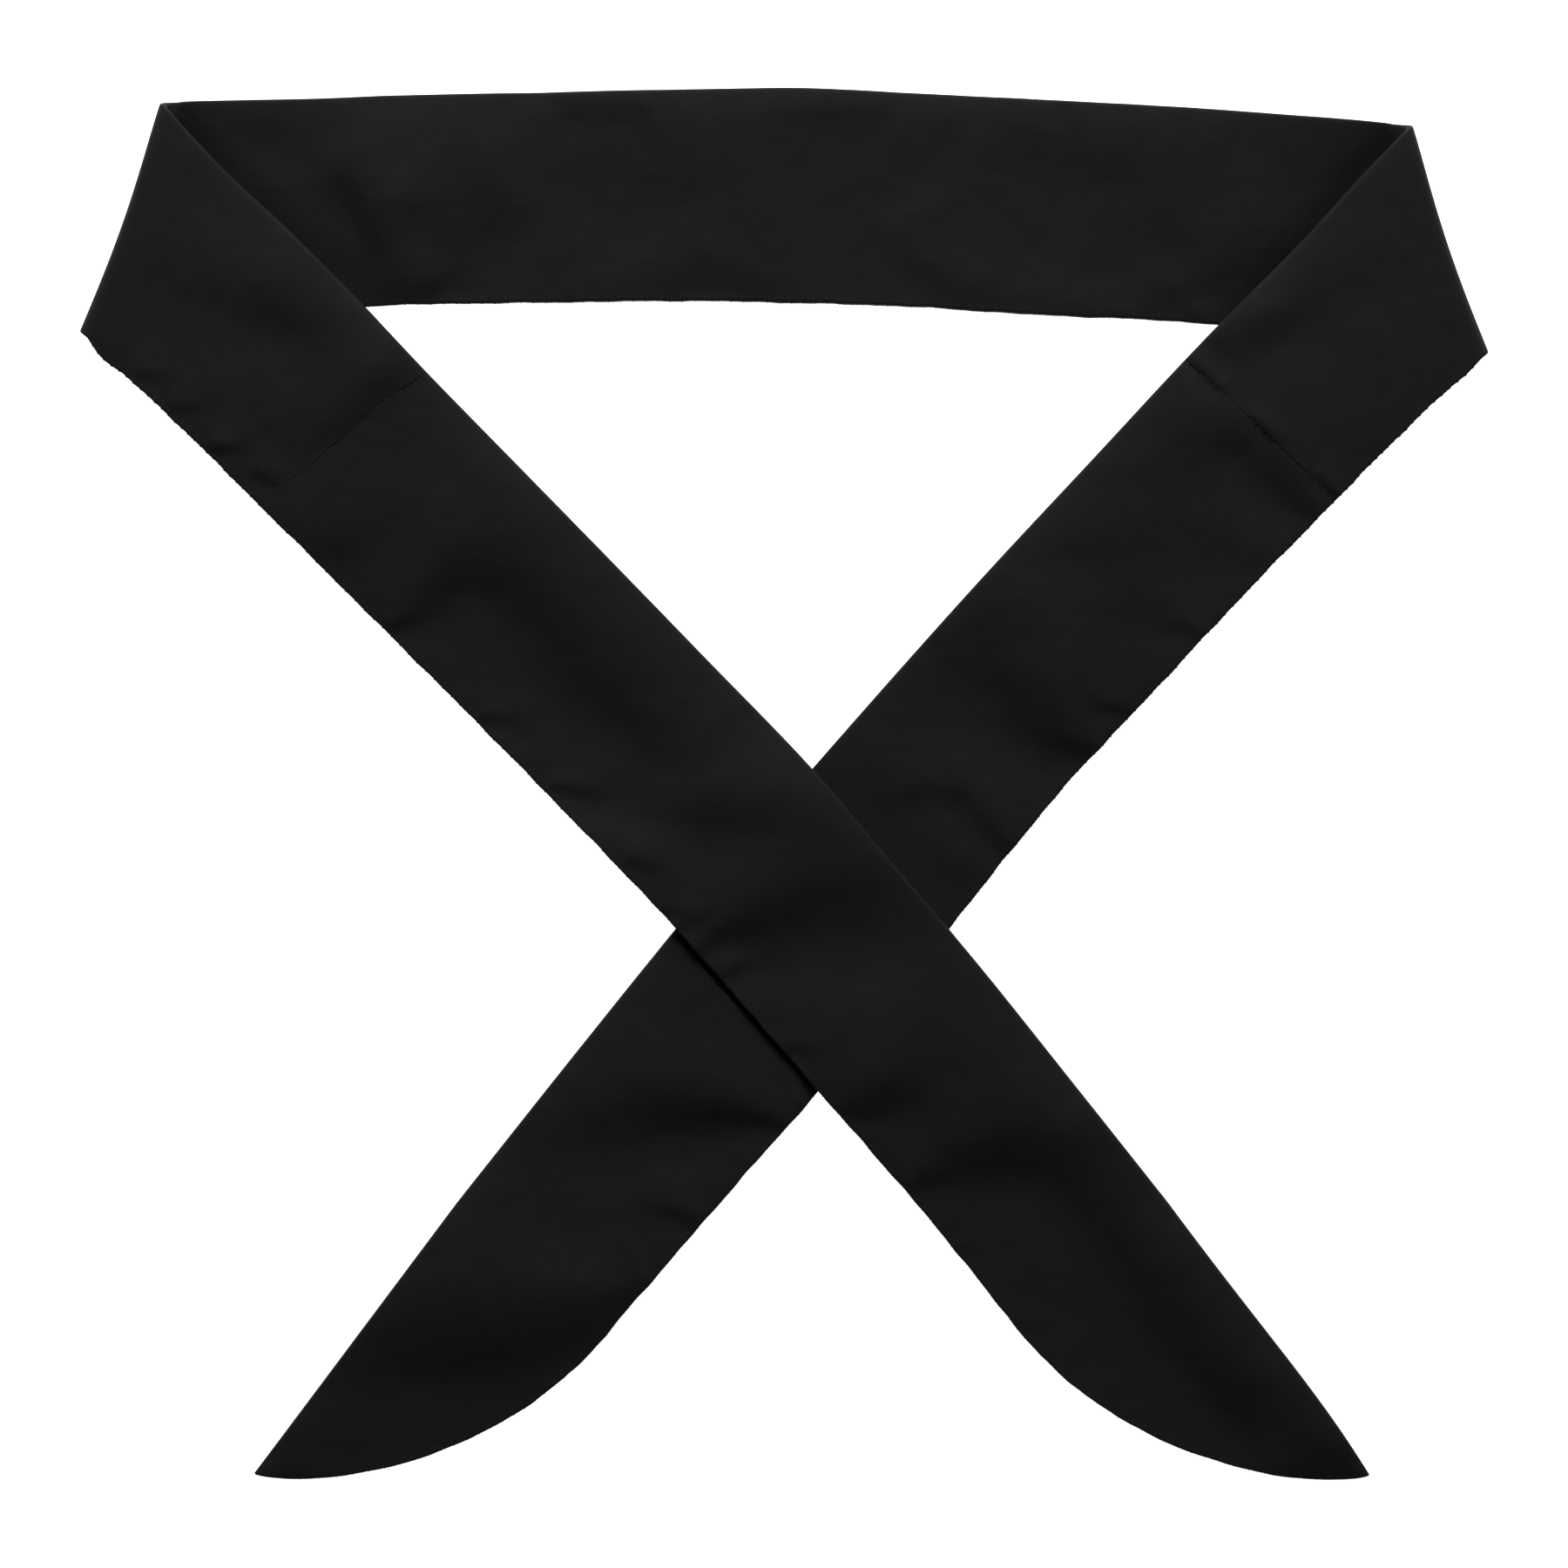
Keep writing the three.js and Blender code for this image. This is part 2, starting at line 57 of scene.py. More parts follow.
# Sizes of the band
FOLD_EDGE = 0.0020  # thickness at the folded edge
SEAM_EDGE = 0.0029  # thickness at the two lips of the seam edge
FOLD_REACH = 0.0055  # how soon the cloth rises to its full thickness, from the folded edge
SEAM_REACH = 0.0038  # and from the seam edge
FOLD_ROUND = 0.0005  # how far in from the folded edge its surface has rounded over
SEAM_ROUND = 0.0005  # and from the seam edge
CORNER_LOFT = 0.0026  # thickness of the band where it is turned back
CROSSING_LOFT = 0.0036  # thickness of the right tail beside the left one, where it is pushed up
CROSSING_PRESSED = 0.0017  # and under the left one
PRESS_DEPTH = 0.0024  # how hard it is pressed there; cloth gives way the less the thinner it gets
PUSHED_UP = 0.0011  # how far its fold edge is pushed up beside the left one
PUSHED_UP_REACH = 0.0070  # how soon that fades, from there
PRESS_ENDS = (0.0002, 0.0011)  # the press fades between these distances outside the left tail's seam edge
PRESS_FOLD_ENDS = (-0.002, 0.0150)  # and between these outside its fold edge
PRESS_FOLD_SHARE = 0.4  # how hard the right tail is pressed at the left one's fold edge, as a share
PRESS_FULL_INSET = 0.035  # it is pressed fully this far in from there
SEAM_FULLNESS = 0.00018  # the seam edge swells this far past its line
LAYER_GAP = 0.0003  # air between layers and between neighbouring pieces
TIP_LENGTH = 0.080  # the curved end of a tail, measured along its straight edge
TIP_FULLNESS = 0.8  # exponent of the curve that closes the tail towards its point
TIP_LAST_ANGLE = math.radians(86)  # where the tail is cut off, short of its point at 90 degrees
NARROW_WIDTH = 0.020  # below this width the edge insets and thickness shrink in step
NARROWEST_EDGE = 0.4  # share of an edge's thickness that is left at the point
SEAM_GROOVE = 0.0005  # how deep the sewn line lies between its two lips
SEAM_LIP = 0.00020  # how far the lips would go on before they met
FOLD_BULGE = 0.00004  # the folded edge swells this far past its line
MITRE_HOLLOW = 0.0012  # how far the edge of a half turn bends inwards at its middle
MITRE_HOLLOW_REACH = 0.012  # how soon that fades along the band
TIP_SWELL = 0.0009  # the left tip's straight edge swells towards its point
SEAM_PRESS = 0.93  # thickness left at a cross seam, as a share

# How the cloth comes down to the surface beside what it lies over
RAMP_START = 0.0005  # how far it goes on level past the layer's edge
RAMP_LENGTH = 0.0450  # how long it takes beside a tail
CORNER_RAMP_LENGTH = 0.1000  # and beside the neck span

# The left tail's seam edge stands up over the right tail, and each flap's fold edge over the neck span
EDGE_LIFT = 0.0001
EDGE_LIFT_REACH = 0.007
EDGE_RISES = (-0.15, 0.10)  # as shares of the tail's seam line over the right tail
EDGE_FALLS = (0.80, 1.15)
FLAP_LIFT = 0.0003
FLAP_LIFT_REACH = 0.006
FLAP_LIFT_ENDS = (-0.02, 0.004)  # it fades between these distances outside the neck span's seam edge

# The left cross seam isn't straight: it bows towards the tail near the seam edge
LEFT_SEAM_BOW = 0.0035
RIGHT_SEAM_BOW = 0.0006
SEAM_BOW_REACH = 0.012  # how soon that fades along the band
SEAM_BOW_SKEW = 2.6  # above 1, the bow is deepest past the middle, towards the seam edge

# Spacing of the mesh before it is subdivided
POCKET_STEP = 0.0016
TAIL_STEP = 0.0012
TURN_STEPS = 14
FOLD_INSETS = (0.00012, 0.0004, 0.0010, 0.0020, 0.0034, 0.0052)  # points of a face beside the folded edge
SEAM_INSETS = (0.0, 0.0003, 0.0008, 0.0016, 0.0030)  # and beside the seam edge
SEEN_STEPS = 26  # across a face that shows
UNSEEN_STEPS = 8  # across the underside of a tail
SEAM_COLUMN = len(FOLD_INSETS) + len(SEAM_INSETS) + SEEN_STEPS  # number of the seam edge in a ring
END_STATIONS = (0.0, 0.00006, 0.00018, 0.0004, 0.0008)  # rows that round an end over, from the end inwards
CLEAR_OF_END = 1.3 * END_STATIONS[-1]  # no other row is as near to the end as this
END_ROUND = 0.0004
END_OVERLAP = 0.0001  # how far the two cloths of a cross seam go into each other

# Shape of a crease across its line, in widths of its sloping band
BAND_SHARE = 1.5
HIGH_SIDE_REACH = 3.4
LOW_SIDE_REACH = 2.5
CREASE_CUT = 2.3  # beyond this many reaches a crease is left out
CREASE_STEPS = 8  # places read between two points of a crease
CREASE_BLEND = 0.6  # how soon a nearer place outweighs a farther one
CREASE_SPREAD = 0.5  # far from its line a crease is read over a longer stretch
CREASE_LIFT = 0.6  # share of a crease that stands up on its high side, the rest sinks in on its low side
TUCK_LIFT = 0.5  # the same for a tuck beside a flap
UNDER_LIFT_REACH = 0.008  # how far in from an edge the underside goes up with a crease
TURN_CALM = 0.004  # creases fade out this close to a half turn
SINK_SHARE = 0.95  # share of its spare thickness that a face may sink by

Row = namedtuple("Row", "fold_x fold_y seam_x seam_y loft")
At = namedtuple("At", "x y width slope")
Line = namedtuple("Line", "x y to_x to_y")

# The band from the left corner to the right one, under the neck. A row is a straight line across it.
NECK_ROWS = (
    Row(-0.1430, 0.1595, -0.1615, 0.1058, CORNER_LOFT),
    Row(-0.1148, 0.1601, -0.1301, 0.1092, CORNER_LOFT),
    Row(-0.0856, 0.1611, -0.0938, 0.1120, CORNER_LOFT),
    Row(-0.0530, 0.1618, -0.0560, 0.1127, 0.0028),
    Row(-0.0203, 0.1625, -0.0209, 0.1131, 0.0029),
    Row(0.0036, 0.1628, 0.0036, 0.1126, 0.0029),
    Row(0.0287, 0.1617, 0.0287, 0.1118, 0.0029),
    Row(0.0566, 0.1603, 0.0583, 0.1099, 0.0028),
    Row(0.0879, 0.1585, 0.0934, 0.1082, CORNER_LOFT),
    Row(0.1164, 0.1564, 0.1287, 0.1047, CORNER_LOFT),
    Row(0.1441, 0.1543, 0.1616, 0.1012, CORNER_LOFT),
)

# The left leg from its corner to where its tip begins
LEFT_ROWS = (
    Row(-0.1437, 0.1575, -0.1623, 0.1038, CORNER_LOFT),
    Row(-0.1371, 0.1502, -0.1590, 0.0993, CORNER_LOFT),
    Row(-0.1303, 0.1430, -0.1540, 0.0956, CORNER_LOFT),
    Row(-0.1150, 0.1287, -0.1438, 0.0862, 0.0030),
    Row(-0.0995, 0.1132, -0.1346, 0.0773, 0.0033),
    Row(-0.0831, 0.0959, -0.1254, 0.0681, 0.0032),
    Row(-0.0611, 0.0734, -0.0972, 0.0399, 0.0032),
    Row(-0.0389, 0.0507, -0.0740, 0.0167, 0.0031),
    Row(-0.0191, 0.0303, -0.0537, -0.0040, 0.0029),
    Row(0.0066, 0.0036, -0.0286, -0.0300, 0.0028),
    Row(0.0244, -0.0174, -0.0095, -0.0516, 0.0028),
    Row(0.0446, -0.0411, 0.0085, -0.0722, 0.0029),
    Row(0.0691, -0.0717, 0.0330, -0.1005, 0.0030),
    Row(0.0895, -0.0974, 0.0525, -0.1248, 0.0030),
)

# The right leg in the same way
RIGHT_ROWS = (
    Row(0.1448, 0.1523, 0.1623, 0.0989, CORNER_LOFT),
    Row(0.1398, 0.1472, 0.1585, 0.0950, CORNER_LOFT),
    Row(0.1348, 0.1420, 0.1542, 0.0915, CORNER_LOFT),
    Row(0.1215, 0.1274, 0.1442, 0.0819, 0.0030),
    Row(0.1072, 0.1130, 0.1368, 0.0746, 0.0033),
    Row(0.0935, 0.0990, 0.1290, 0.0666, 0.0032),
    Row(0.0723, 0.0762, 0.1077, 0.0446, 0.0033),
    Row(0.0485, 0.0507, 0.0842, 0.0194, 0.0032),
    Row(0.0301, 0.0303, 0.0658, -0.0003, 0.0030),
    Row(0.0066, 0.0036, 0.0430, -0.0282, 0.0027),
    Row(-0.0097, -0.0155, 0.0274, -0.0485, CROSSING_LOFT),
    Row(-0.0258, -0.0344, 0.0119, -0.0674, CROSSING_LOFT),
    Row(-0.0477, -0.0615, -0.0099, -0.0921, 0.0028),
    Row(-0.0762, -0.0974, -0.0388, -0.1254, 0.0030),
)
CROSS_SEAM_ROW = 5  # the pocket ends and the tail begins at this row of a leg

# Creases in the cloth: points along the middle of a sloping band, with the band's width and its slope.
# The cloth is lower on the right hand of the line, and where the slope is negative it is higher there.
NECK_TUCKS = (
    # under the left flap
    (
        At(-0.143, 0.1562, 0.005, 0.34), At(-0.134, 0.1473, 0.006, 0.26), At(-0.125, 0.1383, 0.006, 0.2),
        At(-0.1159, 0.1294, 0.006, 0.18), At(-0.1069, 0.1204, 0.006, 0.16), At(-0.0993, 0.1129, 0.005, 0.14),
    ),
    # under the right flap
    (
        At(0.1025, 0.1077, 0.006, 0.26), At(0.1127, 0.1186, 0.0065, 0.3), At(0.123, 0.1294, 0.007, 0.3),
        At(0.1332, 0.1403, 0.008, 0.34), At(0.1434, 0.1511, 0.007, 0.4),
    ),
    (
        At(0.087, 0.113, 0.006, 0.11), At(0.1001, 0.118, 0.009, 0.17), At(0.111, 0.1255, 0.011, 0.08),
        At(0.119, 0.1385, 0.015, 0.15), At(0.1307, 0.1465, 0.016, 0.15), At(0.141, 0.1545, 0.011, 0.12),
    ),
)

NECK_CREASES = (
    # the fold that runs down from the left flap, and the slack beside it
    (
        At(-0.1054, 0.1456, 0.005, 0.06), At(-0.1013, 0.1376, 0.0052, 0.22),
        At(-0.0979, 0.1315, 0.0052, 0.28), At(-0.0944, 0.1244, 0.0054, 0.26),
        At(-0.0889, 0.1152, 0.0056, 0.16),
    ),
    (At(-0.1095, 0.135, 0.011, 0.12), At(-0.1025, 0.1245, 0.012, 0.24), At(-0.096, 0.1165, 0.01, 0.18)),
    # along the seam edge
    (
        At(-0.093, 0.1168, 0.006, 0.04), At(-0.0835, 0.116, 0.006, 0.06), At(-0.0734, 0.1158, 0.0045, 0.02),
        At(-0.056, 0.1146, 0.0025, 0.03), At(-0.0325, 0.1146, 0.0025, 0.03), At(-0.0203, 0.116, 0.004, 0.06),
        At(-0.0101, 0.116, 0.004, 0.06), At(0.004, 0.1146, 0.0025, 0.02),
    ),
    (
        At(0.0256, 0.127, 0.006, 0.1), At(0.031, 0.1205, 0.0065, 0.2), At(0.0379, 0.1162, 0.0065, 0.16),
        At(0.045, 0.1135, 0.0045, 0.06),
    ),
    (
        At(0.042, 0.113, 0.0025, 0.03), At(0.0572, 0.1118, 0.0025, 0.05), At(0.0777, 0.1098, 0.0025, 0.07),
        At(0.096, 0.1085, 0.0025, 0.1),
    ),
    # the slack beside the two corners
    (
        At(-0.14, 0.1588, 0.009, 0.18), At(-0.129, 0.1552, 0.012, 0.2), At(-0.115, 0.1512, 0.012, 0.13),
        At(-0.102, 0.1462, 0.01, 0.04),
    ),
    (
        At(0.101, 0.149, 0.01, 0.04), At(0.113, 0.1525, 0.012, 0.13), At(0.125, 0.1548, 0.012, 0.18),
        At(0.137, 0.1566, 0.009, 0.16),
    ),
    # along the folded edge, and the lit cloth beside the seam edge
    (
        At(-0.1, 0.153, 0.016, 0.03), At(-0.07, 0.1525, 0.016, 0.04), At(-0.03, 0.153, 0.014, 0.06),
        At(0.0, 0.152, 0.014, 0.04), At(0.025, 0.15, 0.014, 0.05), At(0.056, 0.15, 0.014, 0.03),
        At(0.09, 0.148, 0.016, 0.03),
    ),
    (At(-0.062, 0.124, 0.008, -0.02), At(-0.05, 0.125, 0.009, -0.06), At(-0.035, 0.124, 0.008, -0.02)),
    (
        At(0.01, 0.119, 0.008, -0.02), At(0.03, 0.119, 0.008, -0.05), At(0.06, 0.119, 0.008, -0.05),
        At(0.078, 0.117, 0.006, -0.02),
    ),
    # broad waves across the padding
    (At(-0.1, 0.137, 0.01, 0.07), At(-0.09, 0.133, 0.014, 0.26), At(-0.074, 0.131, 0.012, 0.12)),
    (At(-0.07, 0.142, 0.008, 0.06), At(-0.0655, 0.135, 0.01, 0.14), At(-0.0611, 0.124, 0.008, 0.05)),
    (At(-0.043, 0.142, 0.01, 0.05), At(-0.0223, 0.14, 0.012, 0.12), At(-0.01, 0.134, 0.01, 0.05)),
    (At(-0.027, 0.121, 0.008, 0.05), At(-0.015, 0.1195, 0.009, 0.13), At(-0.004, 0.1195, 0.008, 0.05)),
    (At(-0.0509, 0.1574, 0.005, 0.12), At(-0.0336, 0.1574, 0.005, 0.12)),
    (At(0.0011, 0.156, 0.006, 0.08), At(0.0215, 0.156, 0.006, 0.08)),
    (At(0.056, 0.148, 0.01, 0.05), At(0.076, 0.146, 0.012, 0.09), At(0.096, 0.142, 0.012, 0.07)),
    (At(0.078, 0.131, 0.01, 0.05), At(0.091, 0.1285, 0.012, 0.17), At(0.103, 0.126, 0.01, 0.08)),
)

# The padding's end, where the left flap comes down to the cross seam. The whole of it stands up.
PADDING_END = (
    (
        At(-0.1112, 0.0768, 0.0035, 0.06), At(-0.1046, 0.0822, 0.005, 0.2), At(-0.099, 0.0864, 0.0055, 0.24),
        At(-0.095, 0.0905, 0.0065, 0.26), At(-0.09, 0.095, 0.0075, 0.26), At(-0.0868, 0.0982, 0.0075, 0.14),
    ),
)

LEFT_CREASES = (
    # on the flap
    (
        At(-0.145, 0.1175, 0.007, 0.06), At(-0.1385, 0.116, 0.0075, 0.11), At(-0.129, 0.113, 0.009, 0.11),
        At(-0.1185, 0.1102, 0.011, 0.21), At(-0.111, 0.1068, 0.009, 0.16), At(-0.106, 0.104, 0.007, 0.05),
    ),
    # the lit cloth past the cross seam
    (
        At(-0.1115, 0.0708, 0.004, -0.04), At(-0.1022, 0.08, 0.005, -0.08), At(-0.093, 0.088, 0.005, -0.08),
        At(-0.0825, 0.0947, 0.004, -0.04),
    ),
    # the lit cloth on the seam side of the long fold
    (
        At(-0.086, 0.033, 0.008, -0.03), At(-0.073, 0.022, 0.01, -0.07), At(-0.06, 0.009, 0.01, -0.06),
        At(-0.05, -0.001, 0.008, -0.02),
    ),
    # puckers at the seam edge of the flap
    (At(-0.1497, 0.0948, 0.002, 0.22), At(-0.145, 0.0945, 0.0024, 0.12), At(-0.142, 0.0943, 0.0028, 0.02)),
    (At(-0.1411, 0.087, 0.002, 0.22), At(-0.1373, 0.0876, 0.0026, 0.14), At(-0.1336, 0.088, 0.003, 0.03)),
    (At(-0.1324, 0.0779, 0.002, 0.36), At(-0.129, 0.0779, 0.0024, 0.28), At(-0.1262, 0.078, 0.003, 0.06)),
    (At(-0.1228, 0.0722, 0.0022, 0.22), At(-0.1199, 0.0708, 0.0026, 0.2), At(-0.1168, 0.0694, 0.003, 0.05)),
    # the soft hollow below the cross seam
    (
        At(-0.115, 0.052, 0.004, 0.11), At(-0.109, 0.0545, 0.007, 0.13), At(-0.1013, 0.0566, 0.009, 0.15),
        At(-0.095, 0.06, 0.008, 0.1), At(-0.091, 0.063, 0.007, 0.03),
    ),
    # the long fold that starts at the seam edge, arches over and runs down the tail
    (
        At(-0.0912, 0.0364, 0.0022, 0.3), At(-0.0856, 0.0391, 0.0045, 0.24), At(-0.0805, 0.0438, 0.009, 0.22),
        At(-0.0723, 0.0482, 0.012, 0.22), At(-0.062, 0.0448, 0.0125, 0.23), At(-0.0532, 0.0348, 0.012, 0.24),
        At(-0.0442, 0.0238, 0.012, 0.24), At(-0.0338, 0.0142, 0.011, 0.22), At(-0.0245, 0.007, 0.009, 0.1),
    ),
    (At(-0.0697, 0.0152, 0.002, 0.24), At(-0.0652, 0.0148, 0.0026, 0.18), At(-0.0601, 0.0132, 0.003, 0.04)),
    (
        At(-0.0532, -0.0008, 0.002, 0.3), At(-0.0468, -0.0022, 0.0026, 0.28), At(-0.042, -0.002, 0.004, 0.16),
        At(-0.0393, 0.0, 0.0048, 0.06),
    ),
    # the raised stretch above the crossing, its lit side and its shaded side
    (
        At(-0.053, -0.0068, 0.006, -0.06), At(-0.043, -0.0085, 0.008, -0.13),
        At(-0.033, -0.011, 0.008, -0.16), At(-0.0264, -0.0125, 0.006, -0.05),
    ),
    (
        At(-0.03, -0.0072, 0.005, 0.11), At(-0.0203, -0.0075, 0.0085, 0.21),
        At(-0.0081, -0.0085, 0.0105, 0.24), At(0.0062, -0.01, 0.01, 0.1),
    ),
    (At(-0.0356, -0.018, 0.002, 0.2), At(-0.032, -0.0192, 0.0024, 0.16), At(-0.0285, -0.0205, 0.0028, 0.04)),
    (At(-0.0278, -0.0297, 0.0018, 0.26), At(-0.024, -0.0301, 0.002, 0.2), At(-0.0203, -0.0307, 0.0022, 0.04)),
    (At(-0.024, -0.0336, 0.0018, 0.26), At(-0.02, -0.0315, 0.002, 0.22), At(-0.016, -0.0296, 0.0024, 0.05)),
    # over the right tail
    (
        At(-0.0197, -0.0392, 0.0022, 0.28), At(-0.0142, -0.0352, 0.0045, 0.34),
        At(-0.006, -0.0326, 0.01, 0.36), At(0.0011, -0.0303, 0.014, 0.32), At(0.0103, -0.0276, 0.0165, 0.26),
        At(0.0225, -0.0266, 0.0165, 0.2), At(0.0317, -0.0285, 0.014, 0.08),
    ),
    (At(-0.0145, -0.0446, 0.002, 0.24), At(-0.009, -0.0424, 0.003, 0.22), At(-0.001, -0.0409, 0.005, 0.1)),
    (At(0.0011, -0.0618, 0.002, 0.22), At(0.0052, -0.0624, 0.0024, 0.18), At(0.0093, -0.0632, 0.0028, 0.04)),
    # below the crossing
    (At(0.009, -0.056, 0.008, 0.04), At(0.02, -0.0585, 0.01, 0.09), At(0.032, -0.0575, 0.01, 0.05)),
    (
        At(0.0139, -0.0768, 0.0026, 0.26), At(0.0195, -0.0748, 0.007, 0.29), At(0.027, -0.0718, 0.012, 0.29),
        At(0.0338, -0.0695, 0.012, 0.14), At(0.039, -0.0682, 0.01, 0.04),
    ),
    (
        At(0.0303, -0.094, 0.0028, 0.28), At(0.0368, -0.0909, 0.0075, 0.27), At(0.047, -0.0876, 0.014, 0.29),
        At(0.0572, -0.0866, 0.016, 0.27), At(0.0674, -0.088, 0.016, 0.2), At(0.0766, -0.092, 0.014, 0.09),
    ),
    (At(0.0419, -0.1085, 0.002, 0.2), At(0.047, -0.1103, 0.0024, 0.04)),
    (At(0.0542, -0.1256, 0.0022, 0.12), At(0.0575, -0.1287, 0.0026, 0.03)),
    # beside the long fold, and the fallen end of the point
    (
        At(0.042, -0.095, 0.012, 0.03), At(0.056, -0.108, 0.014, 0.07), At(0.07, -0.123, 0.015, 0.09),
        At(0.082, -0.137, 0.014, 0.09), At(0.092, -0.148, 0.012, 0.08),
    ),
    (At(0.115, -0.144, 0.01, 0.08), At(0.123, -0.153, 0.01, 0.22), At(0.131, -0.161, 0.007, 0.26)),
    # the long fold down to the point
    (
        At(0.064, -0.0905, 0.012, 0.12), At(0.072, -0.0995, 0.013, 0.26), At(0.0801, -0.1105, 0.014, 0.33),
        At(0.087, -0.119, 0.0145, 0.36), At(0.0935, -0.1275, 0.014, 0.38), At(0.1001, -0.1368, 0.013, 0.38),
        At(0.105, -0.1425, 0.012, 0.38), At(0.1095, -0.15, 0.01, 0.36), At(0.1125, -0.1575, 0.008, 0.3),
    ),
)

RIGHT_CREASES = (
    # on the flap
    (
        At(0.1062, 0.104, 0.006, 0.06), At(0.1125, 0.1058, 0.008, 0.21), At(0.1175, 0.107, 0.0075, 0.13),
        At(0.124, 0.1085, 0.007, 0.03),
    ),
    (At(0.0965, 0.1015, 0.005, 0.1), At(0.103, 0.1012, 0.006, 0.14), At(0.109, 0.0995, 0.006, 0.03)),
    (At(0.122, 0.1165, 0.008, 0.04), At(0.1315, 0.118, 0.01, 0.08), At(0.14, 0.12, 0.008, 0.03)),
    # gathers in the cross seam
    (At(0.094, 0.0992, 0.0014, 0.3), At(0.0975, 0.0955, 0.0018, 0.36), At(0.1012, 0.092, 0.0014, 0.35)),
    (At(0.1085, 0.0855, 0.0012, 0.2), At(0.1112, 0.0828, 0.0018, 0.4), At(0.1145, 0.0795, 0.0012, 0.2)),
    (At(0.124, 0.0718, 0.0012, 0.25), At(0.1265, 0.069, 0.0018, 0.45), At(0.1287, 0.0668, 0.0014, 0.4)),
    # below the cross seam
    (
        At(0.095, 0.0778, 0.006, 0.03), At(0.1012, 0.079, 0.0075, 0.16), At(0.1075, 0.0783, 0.008, 0.23),
        At(0.1132, 0.0726, 0.0075, 0.26), At(0.1189, 0.0669, 0.0065, 0.26), At(0.123, 0.0635, 0.0045, 0.24),
        At(0.1256, 0.0614, 0.0024, 0.18),
    ),
    (At(0.065, 0.0545, 0.008, 0.03), At(0.071, 0.0537, 0.009, 0.1), At(0.077, 0.052, 0.008, 0.03)),
    (At(0.104, 0.0545, 0.006, 0.05), At(0.109, 0.053, 0.005, 0.11), At(0.1125, 0.0515, 0.003, 0.12)),
    (
        At(0.0817, 0.0407, 0.007, 0.04), At(0.0889, 0.0378, 0.0048, 0.11), At(0.093, 0.0364, 0.003, 0.24),
        At(0.0978, 0.0344, 0.0022, 0.22),
    ),
    (At(0.0725, 0.018, 0.0024, 0.1), At(0.0762, 0.0177, 0.0026, 0.28), At(0.0811, 0.0164, 0.0022, 0.26)),
    # the lit cloth on the seam side of the leg
    (
        At(0.12, 0.06, 0.01, 0.03), At(0.106, 0.047, 0.013, 0.08), At(0.093, 0.034, 0.014, 0.1),
        At(0.08, 0.021, 0.011, 0.06), At(0.072, 0.014, 0.008, 0.02),
    ),
    # the deep fold above the crossing
    (
        At(0.0425, 0.0318, 0.011, 0.04), At(0.0492, 0.0275, 0.0145, 0.22), At(0.054, 0.0205, 0.0155, 0.29),
        At(0.0588, 0.0142, 0.0115, 0.3), At(0.0646, 0.0099, 0.007, 0.34), At(0.0719, 0.0067, 0.003, 0.3),
    ),
    (At(0.044, 0.04, 0.008, 0.02), At(0.0511, 0.037, 0.009, 0.05), At(0.0583, 0.03, 0.009, 0.02)),
    # the arched fold beside the left tail
    (
        At(0.024, -0.0042, 0.005, 0.04), At(0.0335, -0.0022, 0.005, 0.2), At(0.0415, -0.0032, 0.0055, 0.25),
        At(0.0463, -0.0087, 0.0058, 0.26), At(0.0501, -0.0134, 0.0045, 0.32),
        At(0.0536, -0.017, 0.0026, 0.26),
    ),
    (At(0.036, -0.0205, 0.0045, 0.03), At(0.0393, -0.0203, 0.0055, 0.14), At(0.043, -0.0203, 0.0045, 0.06)),
    # below the crossing
    (
        At(-0.06, -0.083, 0.009, 0.09), At(-0.0509, -0.081, 0.01, 0.12), At(-0.0407, -0.079, 0.0105, 0.17),
        At(-0.0264, -0.0774, 0.0105, 0.29), At(-0.0142, -0.0774, 0.0075, 0.34),
        At(-0.005, -0.0787, 0.0042, 0.38), At(0.0005, -0.0803, 0.0024, 0.3),
    ),
    (
        At(-0.0305, -0.0991, 0.0036, 0.1), At(-0.0256, -0.1005, 0.0032, 0.24),
        At(-0.0209, -0.1029, 0.0024, 0.26),
    ),
    (At(-0.083, -0.093, 0.012, 0.03), At(-0.069, -0.097, 0.014, 0.09), At(-0.056, -0.101, 0.012, 0.04)),
    (At(-0.085, -0.106, 0.012, 0.05), At(-0.071, -0.108, 0.013, 0.09), At(-0.056, -0.108, 0.012, 0.03)),
    # the broad fold across the tip
    (
        At(-0.1, -0.135, 0.013, 0.14), At(-0.0897, -0.133, 0.02, 0.28), At(-0.0734, -0.133, 0.023, 0.32),
        At(-0.057, -0.1303, 0.02, 0.32), At(-0.0448, -0.125, 0.013, 0.34), At(-0.0356, -0.1199, 0.0055, 0.3),
        At(-0.0318, -0.1178, 0.0026, 0.24),
    ),
    (At(-0.1162, -0.1531, 0.007, 0.08), At(-0.107, -0.154, 0.008, 0.14), At(-0.0979, -0.1541, 0.007, 0.06)),
)

# Edges of what lies underneath, from one point to another, with the layer itself on the left hand
NECK_SEAM_AT_LEFT = Line(-0.1636, 0.1064, -0.0968, 0.1119)
NECK_SEAM_AT_RIGHT = Line(0.1007, 0.1064, 0.1640, 0.1011)
RIGHT_TAIL_FOLD_LINE = Line(0.0066, 0.0036, -0.0258, -0.0344)
RIGHT_TAIL_SEAM_LINE = Line(0.0083, -0.0719, 0.0399, -0.0332)
LEFT_TAIL_SEAM_LINE = Line(-0.0252, -0.0342, 0.0082, -0.0714)
LEFT_TAIL_FOLD_LINE = Line(0.0399, -0.0332, 0.0066, 0.0036)

# Edges of the two flaps where they lie on the neck span
LEFT_FLAP_LINE = Line(-0.0977, 0.1117, -0.1428, 0.1564)
RIGHT_FLAP_LINE = Line(0.1430, 0.1515, 0.1021, 0.1081)

